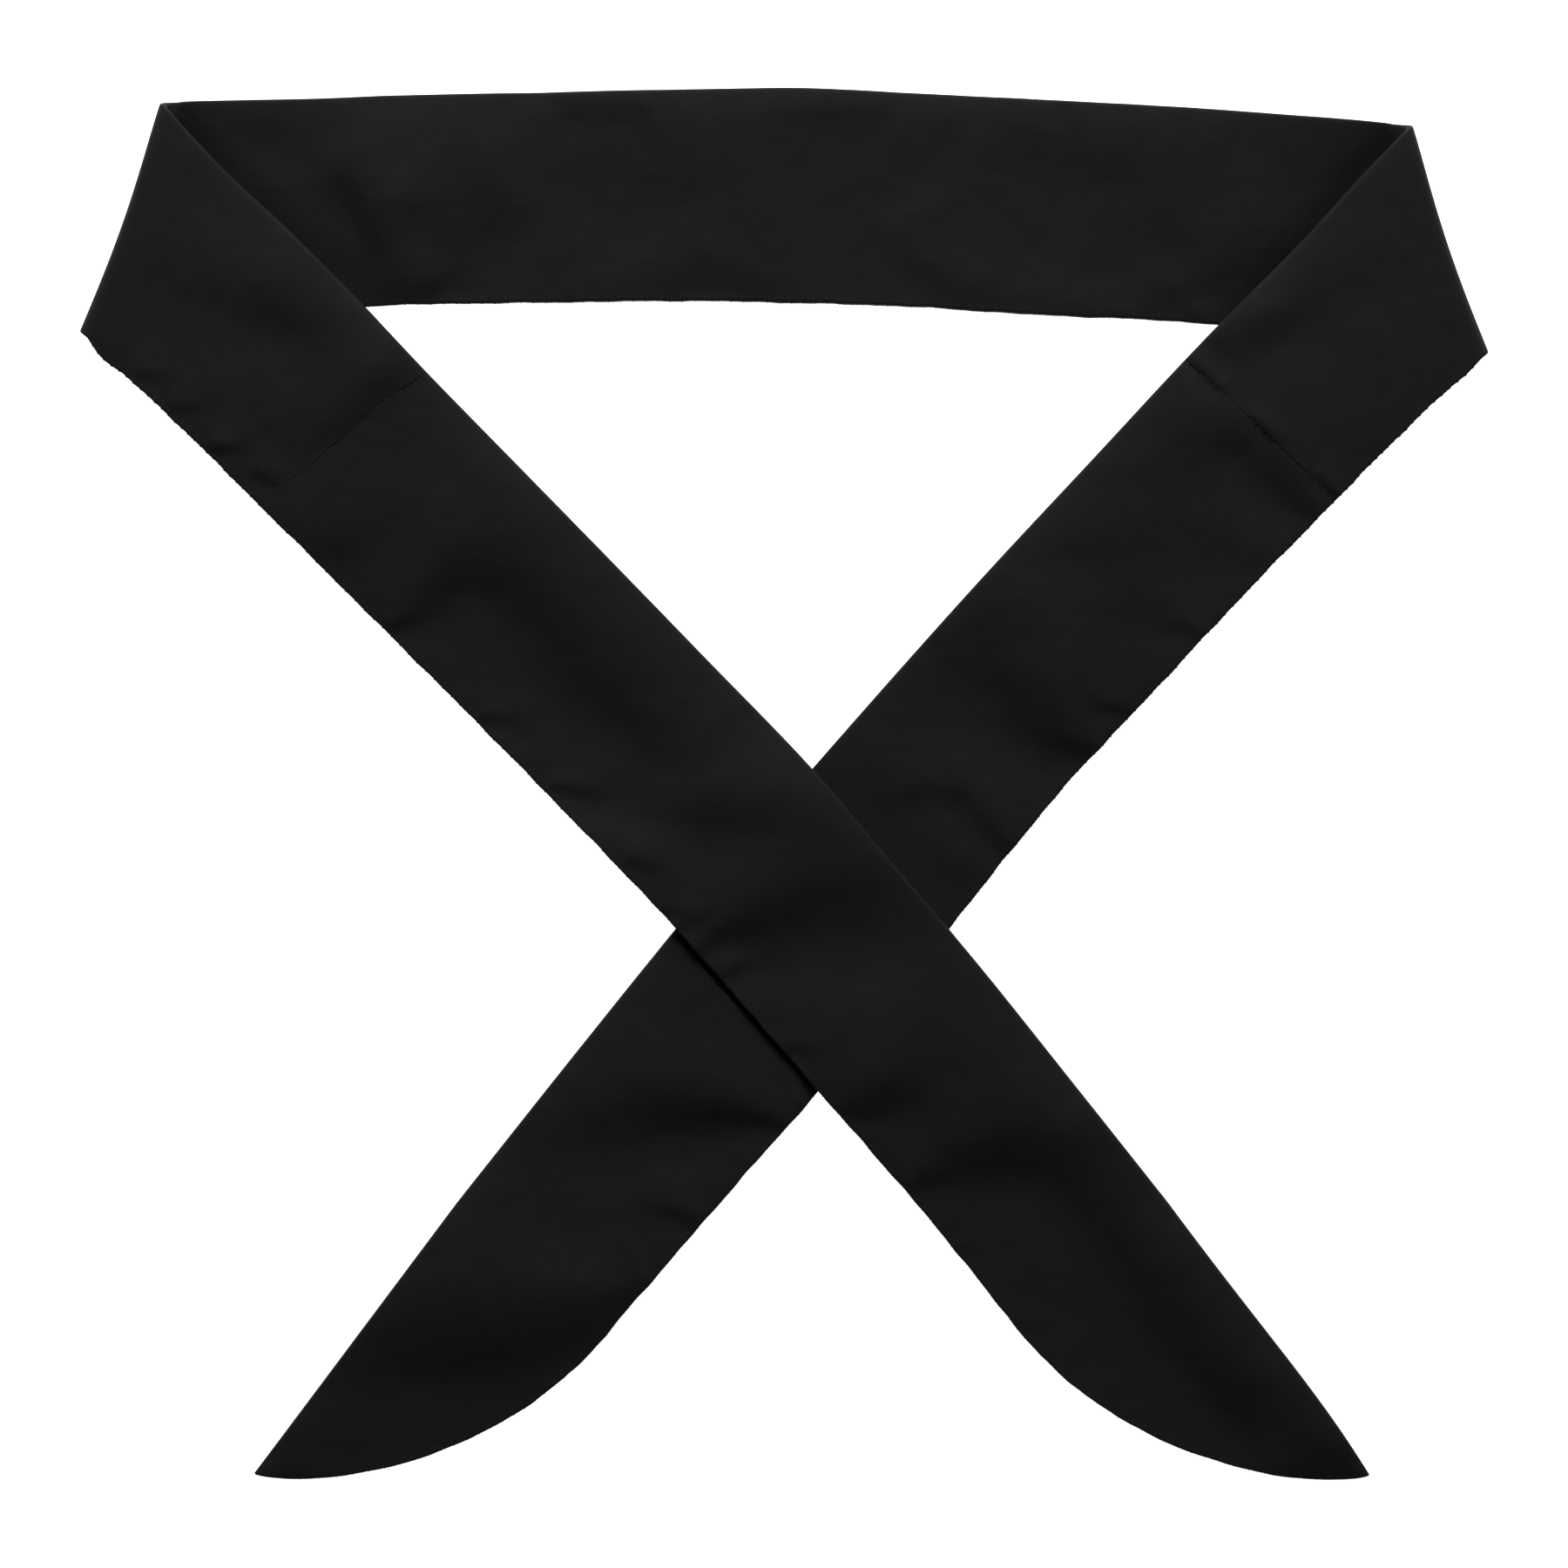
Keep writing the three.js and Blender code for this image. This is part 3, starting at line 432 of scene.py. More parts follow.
# Where a layer above leaves the cloth free: 0 up to the first distance outside it, 1 from the second on
FLAP_CLEARS = (-0.001, 0.004)
LEFT_TAIL_CLEARS = (0.0005, 0.006)

# Small unevenness of the cloth
STITCH_PITCH = 0.0028
STITCH_PINCH = 0.00007  # how far each stitch pulls the seam edge in
PUCKER_SIZE = 0.00016
PUCKER_LENGTHS = (0.0231, 0.0136, 0.0079)
# Where the waves of each piece begin, so that no two are alike
PHASES = {"left_flap": 0.4, "neck_pocket": 1.3, "right_flap": 2.2, "left_tail": 3.2, "right_tail": 4.1}
GATHER_REACH = 0.005  # how far from a cross seam the gathers begin
RUMPLE_HEIGHT = 0.00009
RUMPLE_LENGTHS = (0.0190, 0.0110, 0.0067, 0.0041)
RUMPLE_HEADINGS = 3
RUMPLE_TURN = 1.9  # between the headings of one length and the next, in radians
RUMPLE_SKEW = 0.35  # keeps the headings of one length from being evenly spaced
RUMPLE_BEND = 2.1  # how far a wave bends sideways, in radians
RUMPLE_DRIFT = 2.7  # length of the bends along a wave, in wave lengths
WORN_REACH = 0.0012  # how soon the wear of an edge fades

# Cloth simulation of the upper face. With these values it moves no point by as much as 0.01 mm: the padding,
# the folds and the gathers all come from the mesh code.
CLOTH_FRAMES = 16
CLOTH_GROWTH = 0.05  # how much longer the cloth is than the seam that gathers it
CLOTH_REACH = 0.013  # how soon that fades, from the seam edge
CLOTH_RISE = 0.0009  # the most that a point may move up, down and aside
CLOTH_SINK = 0.0007
CLOTH_SLIDE = 0.0003
LEAST_THICKNESS = 0.0009
LEAST_WEIGHT = 0.001  # a smaller one is left out of a group of points
FOLD_FREE = (0.001, 0.006)  # a point is held at the first distance from an edge, and free at the second
SEAM_FREE = (0.0003, 0.0030)
END_HELD = 0.006  # how far from an end the cloth is held
POINT_HELD = 0.004  # the last of a tail's point, held altogether
CLOTH_SETTINGS = {
    "quality": 6,
    "mass": 0.05,
    "tension_stiffness": 25,
    "compression_stiffness": 25,
    "shear_stiffness": 12,
    "bending_stiffness": 0.6,
    "tension_damping": 8,
    "compression_damping": 8,
    "shear_damping": 8,
    "bending_damping": 1,
    "air_damping": 3,
    "vertex_group_mass": "pinned",
    "vertex_group_shrink": "gathered",
    "shrink_min": 0,
    "shrink_max": -CLOTH_GROWTH,
}

# What each point of a cloth's mesh holds while it is finished, and which edges stay where they are
SHARES = ("goes_up", "may_sink", "on_leg")
END_CREASE = "crease_edge"

# Corners of a four-sided face, as steps along the rings and round them
QUAD_CORNERS = ((0, 0), (0, 1), (1, 1), (1, 0))

# Threads: whip stitches over the two lips of the seam edge, and short ones across the cross seams
THREAD_SIDES = 5
OVER_UPPER_LIP = (4, 3, 2, 1)  # columns that a stitch passes, counted from the seam edge
OVER_LOWER_LIP = (1, 2)
CORE_COLUMN = 5  # a stitch stands off from the middle between the two faces here
EDGE_STANDS_OFF = (-0.00030, 0.00002, 0.00005, 0.00006, 0.00008, 0.00004, -0.00030)
CROSS_STANDS_OFF = (-0.00030, 0.00002, 0.00007, 0.00002, -0.00030)
STITCH_SLANT = 0.0006  # how far a stitch gets along the seam from one end to the other
CROSS_FIRST = 0.0016  # the first thread of a cross seam, from the fold edge
LEAST_STITCHED_WIDTH = 0.006
NECK_STITCHED = (-0.0940, 0.0980)  # the neck span's seam edge shows between these places in X

# Tone of the cloth and the thread, and the threads of the weave
TONE_PATTERNS = ((90.0, 0.6), (700.0, 0.4))  # scale and share of each
TONE_DETAIL = 3.0
ROUGHNESS = 0.60
ROUGHNESS_SPREAD = 0.06
WEAVE_ROUNDNESS = 0.6  # exponent of a thread's profile
WEAVE_DIP = 0.45  # how far a thread goes down where it passes under, as a share

# Floor
FLOOR_RADIUS = 8.0
FLOOR_SIDES = 96
FLOOR_THICKNESS = 0.03

# Key light: beyond the neck span, tilted at the middle of the wrap
KEY_DISTANCE = 1.60
KEY_HEIGHT = 0.78
KEY_SIZE = (0.80, 0.40)

# Camera: straight above, as wide as the picture
PICTURE_WIDTH = 0.3674
SENSOR_WIDTH = 0.036
CAMERA_CLIP = (0.01, 20)


def smoothstep(value, low, high):
    """0 up to low, 1 from high on, and smooth between."""
    share = np.clip((value - low) / (high - low), 0, 1)
    return share * share * (3 - 2 * share)


def curve_through(points, stations):
    """Points of a centripetal Catmull-Rom curve at row numbers that need not be whole."""
    points = np.asarray(points, float)
    padded = np.vstack([2 * points[0] - points[1], points, 2 * points[-1] - points[-2]])
    row = np.minimum(stations.astype(int), len(points) - 2)
    share = (stations - row)[:, None]
    p0, p1, p2, p3 = (padded[row + k] for k in range(4))
    pairs = ((p0, p1), (p1, p2), (p2, p3))
    d0, d1, d2 = (np.sqrt(np.linalg.norm(b - a, axis=1))[:, None] for a, b in pairs)
    start = ((p1 - p0) / d0 - (p2 - p0) / (d0 + d1) + (p2 - p1) / d1) * d1
    end = ((p2 - p1) / d1 - (p3 - p1) / (d1 + d2) + (p3 - p2) / d2) * d1
    square, cube = share**2, share**3
    bend = (2 * start + end - 3 * (p2 - p1)) * -square + (start + end - 2 * (p2 - p1)) * cube
    return p1 + start * share + bend


class Sections:
    """Straight lines across the band: their ends at both edges, the thickness and the place along the band.

    Pinch is the share of the thickness that is left; bow and hollow are how far a line bends lengthwise.
    """

    def __init__(self, fold, seam, loft, along, pinch=None, bow=None, hollow=None):
        self.fold, self.seam, self.loft, self.along = fold, seam, loft, along
        self.pinch = np.ones(len(fold)) if pinch is None else pinch
        self.bow = np.zeros(len(fold)) if bow is None else bow
        self.hollow = np.zeros(len(fold)) if hollow is None else hollow

    @property
    def fields(self):
        return self.fold, self.seam, self.loft, self.along, self.pinch, self.bow, self.hollow

    @property
    def width(self):
        return np.linalg.norm(self.seam - self.fold, axis=1)

    def part(self, keep):
        return Sections(*(field[keep] for field in self.fields))


class Strip:
    """A stretch of the band given by rows, read at distances along its middle."""

    FINE = 40  # places read between two rows

    def __init__(self, rows):
        table = np.array(rows)
        self.fold_rows, self.seam_rows, self.loft_rows = table[:, 0:2], table[:, 2:4], table[:, 4]
        self.stations = np.linspace(0, len(rows) - 1, self.FINE * (len(rows) - 1) + 1)
        edges = (curve_through(rows, self.stations) for rows in (self.fold_rows, self.seam_rows))
        middle = sum(edges) / 2
        steps = np.linalg.norm(np.diff(middle, axis=0), axis=1)
        self.lengths = np.concatenate([[0], np.cumsum(steps)])

    def length_at(self, row):
        return float(np.interp(row, self.stations, self.lengths))

    def sections(self, lengths):
        stations = np.interp(lengths, self.lengths, self.stations)
        fold = curve_through(self.fold_rows, stations)
        seam = curve_through(self.seam_rows, stations)
        loft = np.interp(stations, np.arange(len(self.loft_rows)), self.loft_rows)
        return Sections(fold, seam, loft, np.asarray(lengths, float))


def spread(start, end, step, round_start=False, round_end=False):
    """Distances from start to end, a step apart, and closer where an end is rounded over."""
    count = max(2, round((end - start) / step))
    places = list(np.linspace(start, end, count + 1))
    if round_start:
        places = [p for p in places if p > start + CLEAR_OF_END] + [start + s for s in END_STATIONS]
    if round_end:
        places = [p for p in places if p < end - CLEAR_OF_END] + [end - s for s in END_STATIONS]
    return np.array(sorted(places))


def tip_sections(strip, swell):
    """The end of a tail: on along the fold edge, while the seam edge curves in to meet it."""
    last = strip.sections(strip.lengths[-1:])
    across = (last.seam - last.fold)[0]
    width = np.linalg.norm(across)
    across = across / width
    side = math.copysign(1, across[0])
    ahead = np.array([side * across[1], -side * across[0]])
    count = round(TIP_LENGTH / TAIL_STEP)
    angle = TIP_LAST_ANGLE * np.arange(1, count + 1) / count
    reach = TIP_LENGTH * np.sin(angle)
    line = last.fold + ahead * reach[:, None]
    seam = line + across * (width * np.cos(angle) ** (2 * TIP_FULLNESS))[:, None]
    fold = line - across * (swell * np.sin(np.pi * (reach / TIP_LENGTH) ** 2))[:, None]
    return Sections(fold, seam, np.full(count, last.loft[0]), strip.lengths[-1] + reach)


def joined(first, second):
    return Sections(*(np.concatenate(pair) for pair in zip(first.fields, second.fields)))


def set_cross_seam(sections, seam_length, end_length, bow):
    """Rounds the end over at the cross seam, and bows the sections near it."""
    inside = np.clip(np.abs(sections.along - end_length) / END_ROUND, 0, 1)
    sections.pinch = SEAM_PRESS + (1 - SEAM_PRESS) * np.sqrt(1 - (1 - inside) ** 2)
    sections.bow = bow * np.exp(-((sections.along - seam_length) / SEAM_BOW_REACH) ** 2)


def set_corner(sections, corner_length):
    """Bends the sections near a half turn as its edge is bent."""
    sections.hollow = MITRE_HOLLOW * np.exp(-((sections.along - corner_length) / MITRE_HOLLOW_REACH) ** 2)


def columns(width, steps):
    """Distances from the fold edge of the points of a face, a row for each section."""
    shrink = np.minimum(1, width / NARROW_WIDTH)[:, None]
    first = np.array(FOLD_INSETS)[None, :] * shrink
    last = width[:, None] - np.array(SEAM_INSETS)[None, ::-1] * shrink
    inner = first[:, -1:] + (last[:, :1] - first[:, -1:]) * (np.arange(1, steps) / steps)
    return np.hstack([first, inner, last])


def rounded_over(inset, reach):
    """0 at an edge, rising as a quarter circle to 1."""
    return np.sqrt(1 - (1 - np.clip(inset / reach, 0, 1)) ** 2)


def edge_heights(width):
    """Height of the middle of the folded edge and of the seam edge above what the band lies on."""
    shrink = NARROWEST_EDGE + (1 - NARROWEST_EDGE) * np.minimum(1, width / NARROW_WIDTH)
    return FOLD_EDGE / 2 * shrink, SEAM_EDGE / 2 * shrink


def face_heights(sections, distance):
    """Heights of the upper and lower face above what the band lies on."""
    width = sections.width[:, None]
    shrink = np.minimum(1, width / NARROW_WIDTH)
    fold_middle, seam_middle = edge_heights(width)
    loft = 2 * seam_middle + (sections.loft[:, None] - 2 * seam_middle) * shrink
    from_fold = np.clip(distance, 0, width)
    from_seam = np.clip(width + SEAM_LIP * shrink - distance, 0, None)
    rim = np.minimum(2 * seam_middle, loft)
    crown = rim + (loft - rim) * (1 - np.exp(-from_seam / (SEAM_REACH * shrink)))
    top = 2 * fold_middle + (crown - 2 * fold_middle) * (1 - np.exp(-from_fold / (FOLD_REACH * shrink)))
    rounded = rounded_over(from_fold, FOLD_ROUND * shrink) * rounded_over(from_seam, SEAM_ROUND * shrink)
    rounded = rounded * sections.pinch[:, None]
    middle = fold_middle + (seam_middle - fold_middle) * np.clip(distance / width, 0, 1)
    return middle + (top - middle) * rounded, middle * (1 - rounded)


def plan_points(sections, distance):
    """Where points at these distances from the fold edge lie, seen from above."""
    share = distance / sections.width[:, None]
    across = (sections.seam - sections.fold) / sections.width[:, None]
    side = np.sign(across[:, 0])
    ahead = np.stack([side * across[:, 1], -side * across[:, 0]], axis=1)
    inside = np.clip(share, 0, 1)
    bow = sections.bow[:, None] * np.sin(np.pi * inside**SEAM_BOW_SKEW)
    bow = bow + sections.hollow[:, None] * np.sin(np.pi * inside)
    straight = sections.fold[:, None, :] + (sections.seam - sections.fold)[:, None, :] * share[:, :, None]
    return straight + ahead[:, None, :] * bow[:, :, None]


def distance_outside(line, points):
    """Plan distance from the layer beside a line: negative over the layer, positive outside it."""
    along = np.array([line.to_x - line.x, line.to_y - line.y])
    along = along / np.linalg.norm(along)
    return (points[..., 0] - line.x) * along[1] - (points[..., 1] - line.y) * along[0]


def height_over(lines, height, points, ramp):
    """Height that the cloth keeps over a layer and gives up beside it."""
    outside = np.max([distance_outside(line, points) for line in lines], axis=0)
    straight = np.clip((outside - RAMP_START) / ramp, 0, 1)
    return height * (1 - (straight + smoothstep(straight, 0, 1)) / 2)


def on_the_surface(points):
    return np.zeros(points.shape[:-1])


def over_neck_at_left(points):
    return height_over([NECK_SEAM_AT_LEFT], CORNER_LOFT + LAYER_GAP, points, CORNER_RAMP_LENGTH)


def over_neck_at_right(points):
    return height_over([NECK_SEAM_AT_RIGHT], CORNER_LOFT + LAYER_GAP, points, CORNER_RAMP_LENGTH)


def over_right_tail(points):
    """The left tail: down from the neck span, then over the right tail with its seam edge standing up."""
    lines = [RIGHT_TAIL_FOLD_LINE, RIGHT_TAIL_SEAM_LINE]
    lying = height_over(lines, CROSSING_PRESSED + LAYER_GAP, points, RAMP_LENGTH)
    lying = lying + over_neck_at_left(points)
    line = LEFT_TAIL_SEAM_LINE
    run = np.array([line.to_x - line.x, line.to_y - line.y])
    along = ((points[..., 0] - line.x) * run[0] + (points[..., 1] - line.y) * run[1]) / (run @ run)
    rise = smoothstep(along, *EDGE_RISES) * (1 - smoothstep(along, *EDGE_FALLS))
    return lying + EDGE_LIFT * rise * np.exp(-np.abs(distance_outside(line, points)) / EDGE_LIFT_REACH)


def crease_height(crease, points, lift):
    """Height of one crease at each point: up on its high side by the share lift, down on its low side."""
    rows = np.array(crease)
    stations = np.linspace(0, len(rows) - 1, CREASE_STEPS * (len(rows) - 1) + 1)
    path = curve_through(rows[:, :2], stations)
    width = np.interp(stations, np.arange(len(rows)), rows[:, 2]) / BAND_SHARE
    slope = np.interp(stations, np.arange(len(rows)), rows[:, 3])
    reach = CREASE_CUT * HIGH_SIDE_REACH * width.max()
    near = np.all((points > path.min(axis=0) - reach) & (points < path.max(axis=0) + reach), axis=1)
    height = np.zeros(len(points))
    offset = points[near][:, None, :] - path
    ahead = np.gradient(path, axis=0)
    ahead /= np.linalg.norm(ahead, axis=1)[:, None]
    square = (offset**2).sum(axis=2)
    aside = offset[..., 0] * ahead[:, 1] - offset[..., 1] * ahead[:, 0]
    past = np.zeros_like(aside)
    past[:, 0] = np.clip(-offset[:, 0] @ ahead[0], 0, None)
    past[:, -1] = np.clip(offset[:, -1] @ ahead[-1], 0, None)
    nearest = square.min(axis=1, keepdims=True)
    sharp = np.exp((nearest - square) / (CREASE_BLEND * width) ** 2)
    weight = np.exp((nearest - square) / ((CREASE_BLEND * width) ** 2 + CREASE_SPREAD * nearest))
    past = (sharp * past).sum(axis=1) / sharp.sum(axis=1)
    total = weight.sum(axis=1)
    width, slope, aside = ((weight * each).sum(axis=1) / total for each in (width, slope, aside))
    aside, past = aside / width, past / width
    fade = np.exp(-((aside / np.where(aside < 0, HIGH_SIDE_REACH, LOW_SIDE_REACH)) ** 2) - past**2)
    height[near] = 2 * slope * width * (lift - (1 + np.tanh(aside)) / 2) * fade
    return height


def crease_relief(creases, points, lift):
    return sum(crease_height(crease, points, lift) for crease in creases)


def waves(along, lengths, phase):
    """A sum of unlike waves, from about -1 to 1, that never repeats along the band."""
    parts = [np.sin(2 * np.pi * along / length + phase * (k + 1)) for k, length in enumerate(lengths)]
    return np.sum(parts, axis=0) / len(lengths)


def rumple(points, phase):
    """Low unevenness of limp cloth, as crossed waves at turned headings."""
    total = np.zeros(points.shape[:-1])
    for k, length in enumerate(RUMPLE_LENGTHS):
        for turn in range(RUMPLE_HEADINGS):
            heading = phase + RUMPLE_TURN * k + math.pi * turn / RUMPLE_HEADINGS + RUMPLE_SKEW * turn * turn
            run = points[..., 0] * math.cos(heading) + points[..., 1] * math.sin(heading)
            drift = points[..., 0] * math.sin(heading) - points[..., 1] * math.cos(heading)
            bend = RUMPLE_BEND * np.sin(2 * np.pi * drift / (RUMPLE_DRIFT * length) + k + turn)
            total += length * np.sin(2 * np.pi * run / length + bend)
    return total / sum(RUMPLE_LENGTHS) / (RUMPLE_HEADINGS / 2)


def gather_seam(sections, phase, cross_seam_length=-1):
    """Pulls the seam edge in a little, stitch by stitch, where the thread gathers it.

    Near a cross seam it stays as it is, so that both cloths of the seam are as wide.
    """
    along = sections.along
    pull = PUCKER_SIZE * waves(along, PUCKER_LENGTHS, phase)
    pull = pull + STITCH_PINCH * np.cos(2 * np.pi * along / STITCH_PITCH)
    pull = pull * smoothstep(np.abs(along - cross_seam_length), 0, GATHER_REACH) - SEAM_FULLNESS
    inward = (sections.fold - sections.seam) / np.maximum(sections.width, 1e-6)[:, None]
    narrow = np.minimum(1, sections.width / NARROW_WIDTH)
    sections.seam = sections.seam + inward * (pull * narrow)[:, None]


def flat_rings(sections, on_leg, base, inner_steps=SEEN_STEPS):
    """Rings of a stretch that lies flat: fold edge, outer face, groove of the seam, inner face back.

    The outer face is on top on a leg and below at the neck span. With the rings come three shares for each
    point: how much it goes up with a crease, how far it may sink, and whether it is on a leg.
    """
    width = sections.width[:, None]
    shrink = np.minimum(1, width / NARROW_WIDTH)
    faces, ups, sinks = [], [], []
    for steps, is_up in ((SEEN_STEPS, on_leg), (inner_steps, not on_leg)):
        distance = columns(sections.width, steps)
        points = plan_points(sections, distance)
        upper, lower = face_heights(sections, distance)
        faces.append(np.dstack([points, base(points) + (upper if is_up else lower)]))
        inset = np.minimum(distance, width - distance)
        ups.append(np.ones_like(distance) if is_up else np.exp(-inset / UNDER_LIFT_REACH))
        may_sink = np.clip(upper - lower - LEAST_THICKNESS, 0, None) * SINK_SHARE
        sinks.append(may_sink if is_up else np.zeros_like(distance))
    edges = []
    for place, height in zip((-FOLD_BULGE * shrink, width - SEAM_GROOVE * shrink), edge_heights(width)):
        spot = plan_points(sections, place)
        edges.append(np.dstack([spot, base(spot) + height]))
    rings = np.concatenate([edges[0], faces[0], edges[1], faces[1][:, ::-1]], axis=1)
    one, none = np.ones_like(width), np.zeros_like(width)
    up = np.hstack([one, ups[0], one, ups[1][:, ::-1]])
    sink = np.hstack([none, sinks[0], none, sinks[1][:, ::-1]])
    return rings, np.dstack([up, sink, np.full_like(up, on_leg)])


def turn_rings(below, above):
    """Rings of the half turn at a corner, from the neck's last section below to the leg's first above."""
    axis_height = CORNER_LOFT + LAYER_GAP / 2
    base = CORNER_LOFT + LAYER_GAP
    low_up, low_down = face_heights(below, columns(below.width, SEEN_STEPS))
    high_up, high_down = face_heights(above, columns(above.width, SEEN_STEPS))
    fold_middle, seam_middle = (np.full((1, 1), height[0]) for height in edge_heights(below.width))
    start = axis_height - np.hstack([fold_middle, low_down, seam_middle, low_up[:, ::-1]])
    end = base - axis_height + np.hstack([fold_middle, high_up, seam_middle, high_down[:, ::-1]])
    rings = []
    for step in range(1, TURN_STEPS):
        share = step / TURN_STEPS
        fold = below.fold * (1 - share) + above.fold * share
        seam = below.seam * (1 - share) + above.seam * share
        section = Sections(fold, seam, below.loft, below.along)
        along = (seam - fold)[0] / section.width[0]
        outward = np.array([along[1], -along[0]]) * math.copysign(1, fold[0, 0] * along[1])
        width = section.width[:, None]
        face = columns(section.width, SEEN_STEPS)
        distance = np.hstack([-FOLD_BULGE + 0 * width, face, width - SEAM_GROOVE, face[:, ::-1]])
        radius = start * (1 - share) + end * share
        hollow = MITRE_HOLLOW * np.sin(np.pi * np.clip(distance / width, 0, 1))
        plan = fold[:, None, :] + along * distance[..., None]
        plan = plan + outward * (radius * math.sin(math.pi * share) - hollow)[..., None]
        rings.append(np.dstack([plan, axis_height - radius * math.cos(math.pi * share)]))
    return np.concatenate(rings)


def lift_flap_edge(rings, base_height, side_line):
    """Raises the free fold edge of a flap a little off the neck span it lies on."""
    inset = np.linalg.norm(rings[:, :, :2] - rings[:, :1, :2], axis=2)
    covered = 1 - smoothstep(distance_outside(side_line, rings[..., :2]), *FLAP_LIFT_ENDS)
    is_above = rings[..., 2] > base_height / 2
    rings[..., 2] += FLAP_LIFT * covered * np.exp(-inset / FLAP_LIFT_REACH) * is_above


def new_piece(name, mesh):
    """An object at the origin for a mesh, whose faces are shaded smooth."""
    mesh.polygons.foreach_set("use_smooth", [True] * len(mesh.polygons))
    mesh.update()
    piece = bpy.data.objects.new(name, mesh)
    bpy.context.scene.collection.objects.link(piece)
    return piece


def mesh_points(mesh):
    """The mesh's points, a row for each."""
    points = np.zeros(len(mesh.vertices) * 3)
    mesh.vertices.foreach_get("co", points)
    return points.reshape(-1, 3)


def ring_mesh(name, rings, along):
    """A closed mesh through the rings.

    Its UV map is in metres, along the band and across it from the folded edge. The rims of both ends are
    marked, so that they stay where they are when the mesh is subdivided.
    """
    count, around = rings.shape[:2]
    first = np.arange(count - 1)[:, None] * around + np.arange(around)[None, :]
    beside = np.arange(count - 1)[:, None] * around + (np.arange(around) + 1)[None, :] % around
    quads = np.stack([first, beside, beside + around, first + around], axis=-1).reshape(-1, 4)
    ends = [list(range(around))[::-1], list(range((count - 1) * around, count * around))]
    mesh = bpy.data.meshes.new(name)
    mesh.from_pydata(rings.reshape(-1, 3).tolist(), [], quads.tolist() + ends)
    loop = np.concatenate([rings, rings[:, :1]], axis=1)
    steps = np.linalg.norm(np.diff(loop, axis=1), axis=2)
    outer = np.concatenate([np.zeros((count, 1)), np.cumsum(steps, axis=1)], axis=1)
    inner = outer - outer[:, -1:]
    across = np.stack([inner, outer])
    uv = np.zeros((len(quads) * 4 + 2 * around, 2))
    row, column = np.divmod(np.arange(len(quads)), around)
    is_outer = (column < SEAM_COLUMN).astype(int)
    for k, (down, right) in enumerate(QUAD_CORNERS):
        u = along[row + down]
        v = across[is_outer, row + down, column + right]
        uv[k : len(quads) * 4 : 4] = np.stack([u, v], axis=1)
    mesh.uv_layers.new(name="weave").data.foreach_set("uv", uv.astype(np.float32).ravel())
    piece = new_piece(name, mesh)
    edges = np.zeros(2 * len(mesh.edges), np.int32)
    mesh.edges.foreach_get("vertices", edges)
    edges = edges.reshape(-1, 2)
    at_an_end = np.all(edges < around, axis=1) | np.all(edges >= (count - 1) * around, axis=1)
    mesh.attributes.new(END_CREASE, "FLOAT", "EDGE").data.foreach_set("value", at_an_end.astype(np.float32))
    return piece


def faces_point_out(piece):
    """Turns the faces round if the mesh encloses a negative volume."""
    mesh = piece.data
    mesh.calc_loop_triangles()
    points = mesh_points(mesh)
    corners = np.array([triangle.vertices for triangle in mesh.loop_triangles])
    a, b, c = (points[corners[:, k]] for k in range(3))
    if np.einsum("ij,ij->i", a, np.cross(b, c)).sum() < 0:
        mesh.flip_normals()


def simulate_upper_face(piece, rings, up_columns, free):
    """Runs cloth on the upper face, longer than the seam that gathers it, and returns how far it moved."""
    count, around = rings.shape[:2]
    pinned = np.ones((count, around))
    pinned[:, up_columns] = 1 - free
    near = np.zeros((count, around))
    reach = np.linalg.norm(rings - rings[:, [SEAM_COLUMN]], axis=2)
    near[:, up_columns] = np.exp(-((reach[:, up_columns] / CLOTH_REACH) ** 2))
    for label, weights in (("pinned", pinned), ("gathered", near)):
        group = piece.vertex_groups.new(name=label)
        for index, weight in enumerate(weights.ravel()):
            if weight > LEAST_WEIGHT:
                group.add([index], float(weight), "REPLACE")
    cloth = piece.modifiers.new("cloth", "CLOTH")
    for name, value in CLOTH_SETTINGS.items():
        setattr(cloth.settings, name, value)
    cloth.settings.effector_weights.gravity = 0
    cloth.collision_settings.use_collision = False
    cloth.point_cache.frame_start = 1
    cloth.point_cache.frame_end = CLOTH_FRAMES
    scene = bpy.context.scene
    for number in range(1, CLOTH_FRAMES + 1):
        scene.frame_set(number)
    settled = piece.evaluated_get(bpy.context.evaluated_depsgraph_get())
    points = mesh_points(settled.data)
    piece.modifiers.remove(cloth)
    piece.vertex_groups.clear()
    scene.frame_set(1)
    return points.reshape(count, around, 3) - rings


def hold_back(rings, moved, up_columns, sink, clear):
    """Caps what the cloth moved, keeps its least thickness and stays under the layer above."""
    moved = np.nan_to_num(moved)
    moved[..., 0:2] = np.clip(moved[..., 0:2], -CLOTH_SLIDE, CLOTH_SLIDE)
    moved[..., 2] = np.clip(moved[..., 2], -np.minimum(CLOTH_SINK, sink), CLOTH_RISE * clear)
    result = rings.copy()
    result[:, up_columns] += moved[:, up_columns]
    return result


def set_points(piece, rings):
    piece.data.vertices.foreach_set("co", rings.astype(np.float32).ravel())
    piece.data.update()


def mesh_values(mesh, name):
    values = np.zeros(len(mesh.vertices), np.float32)
    mesh.attributes[name].data.foreach_get("value", values)
    return values.astype(float)


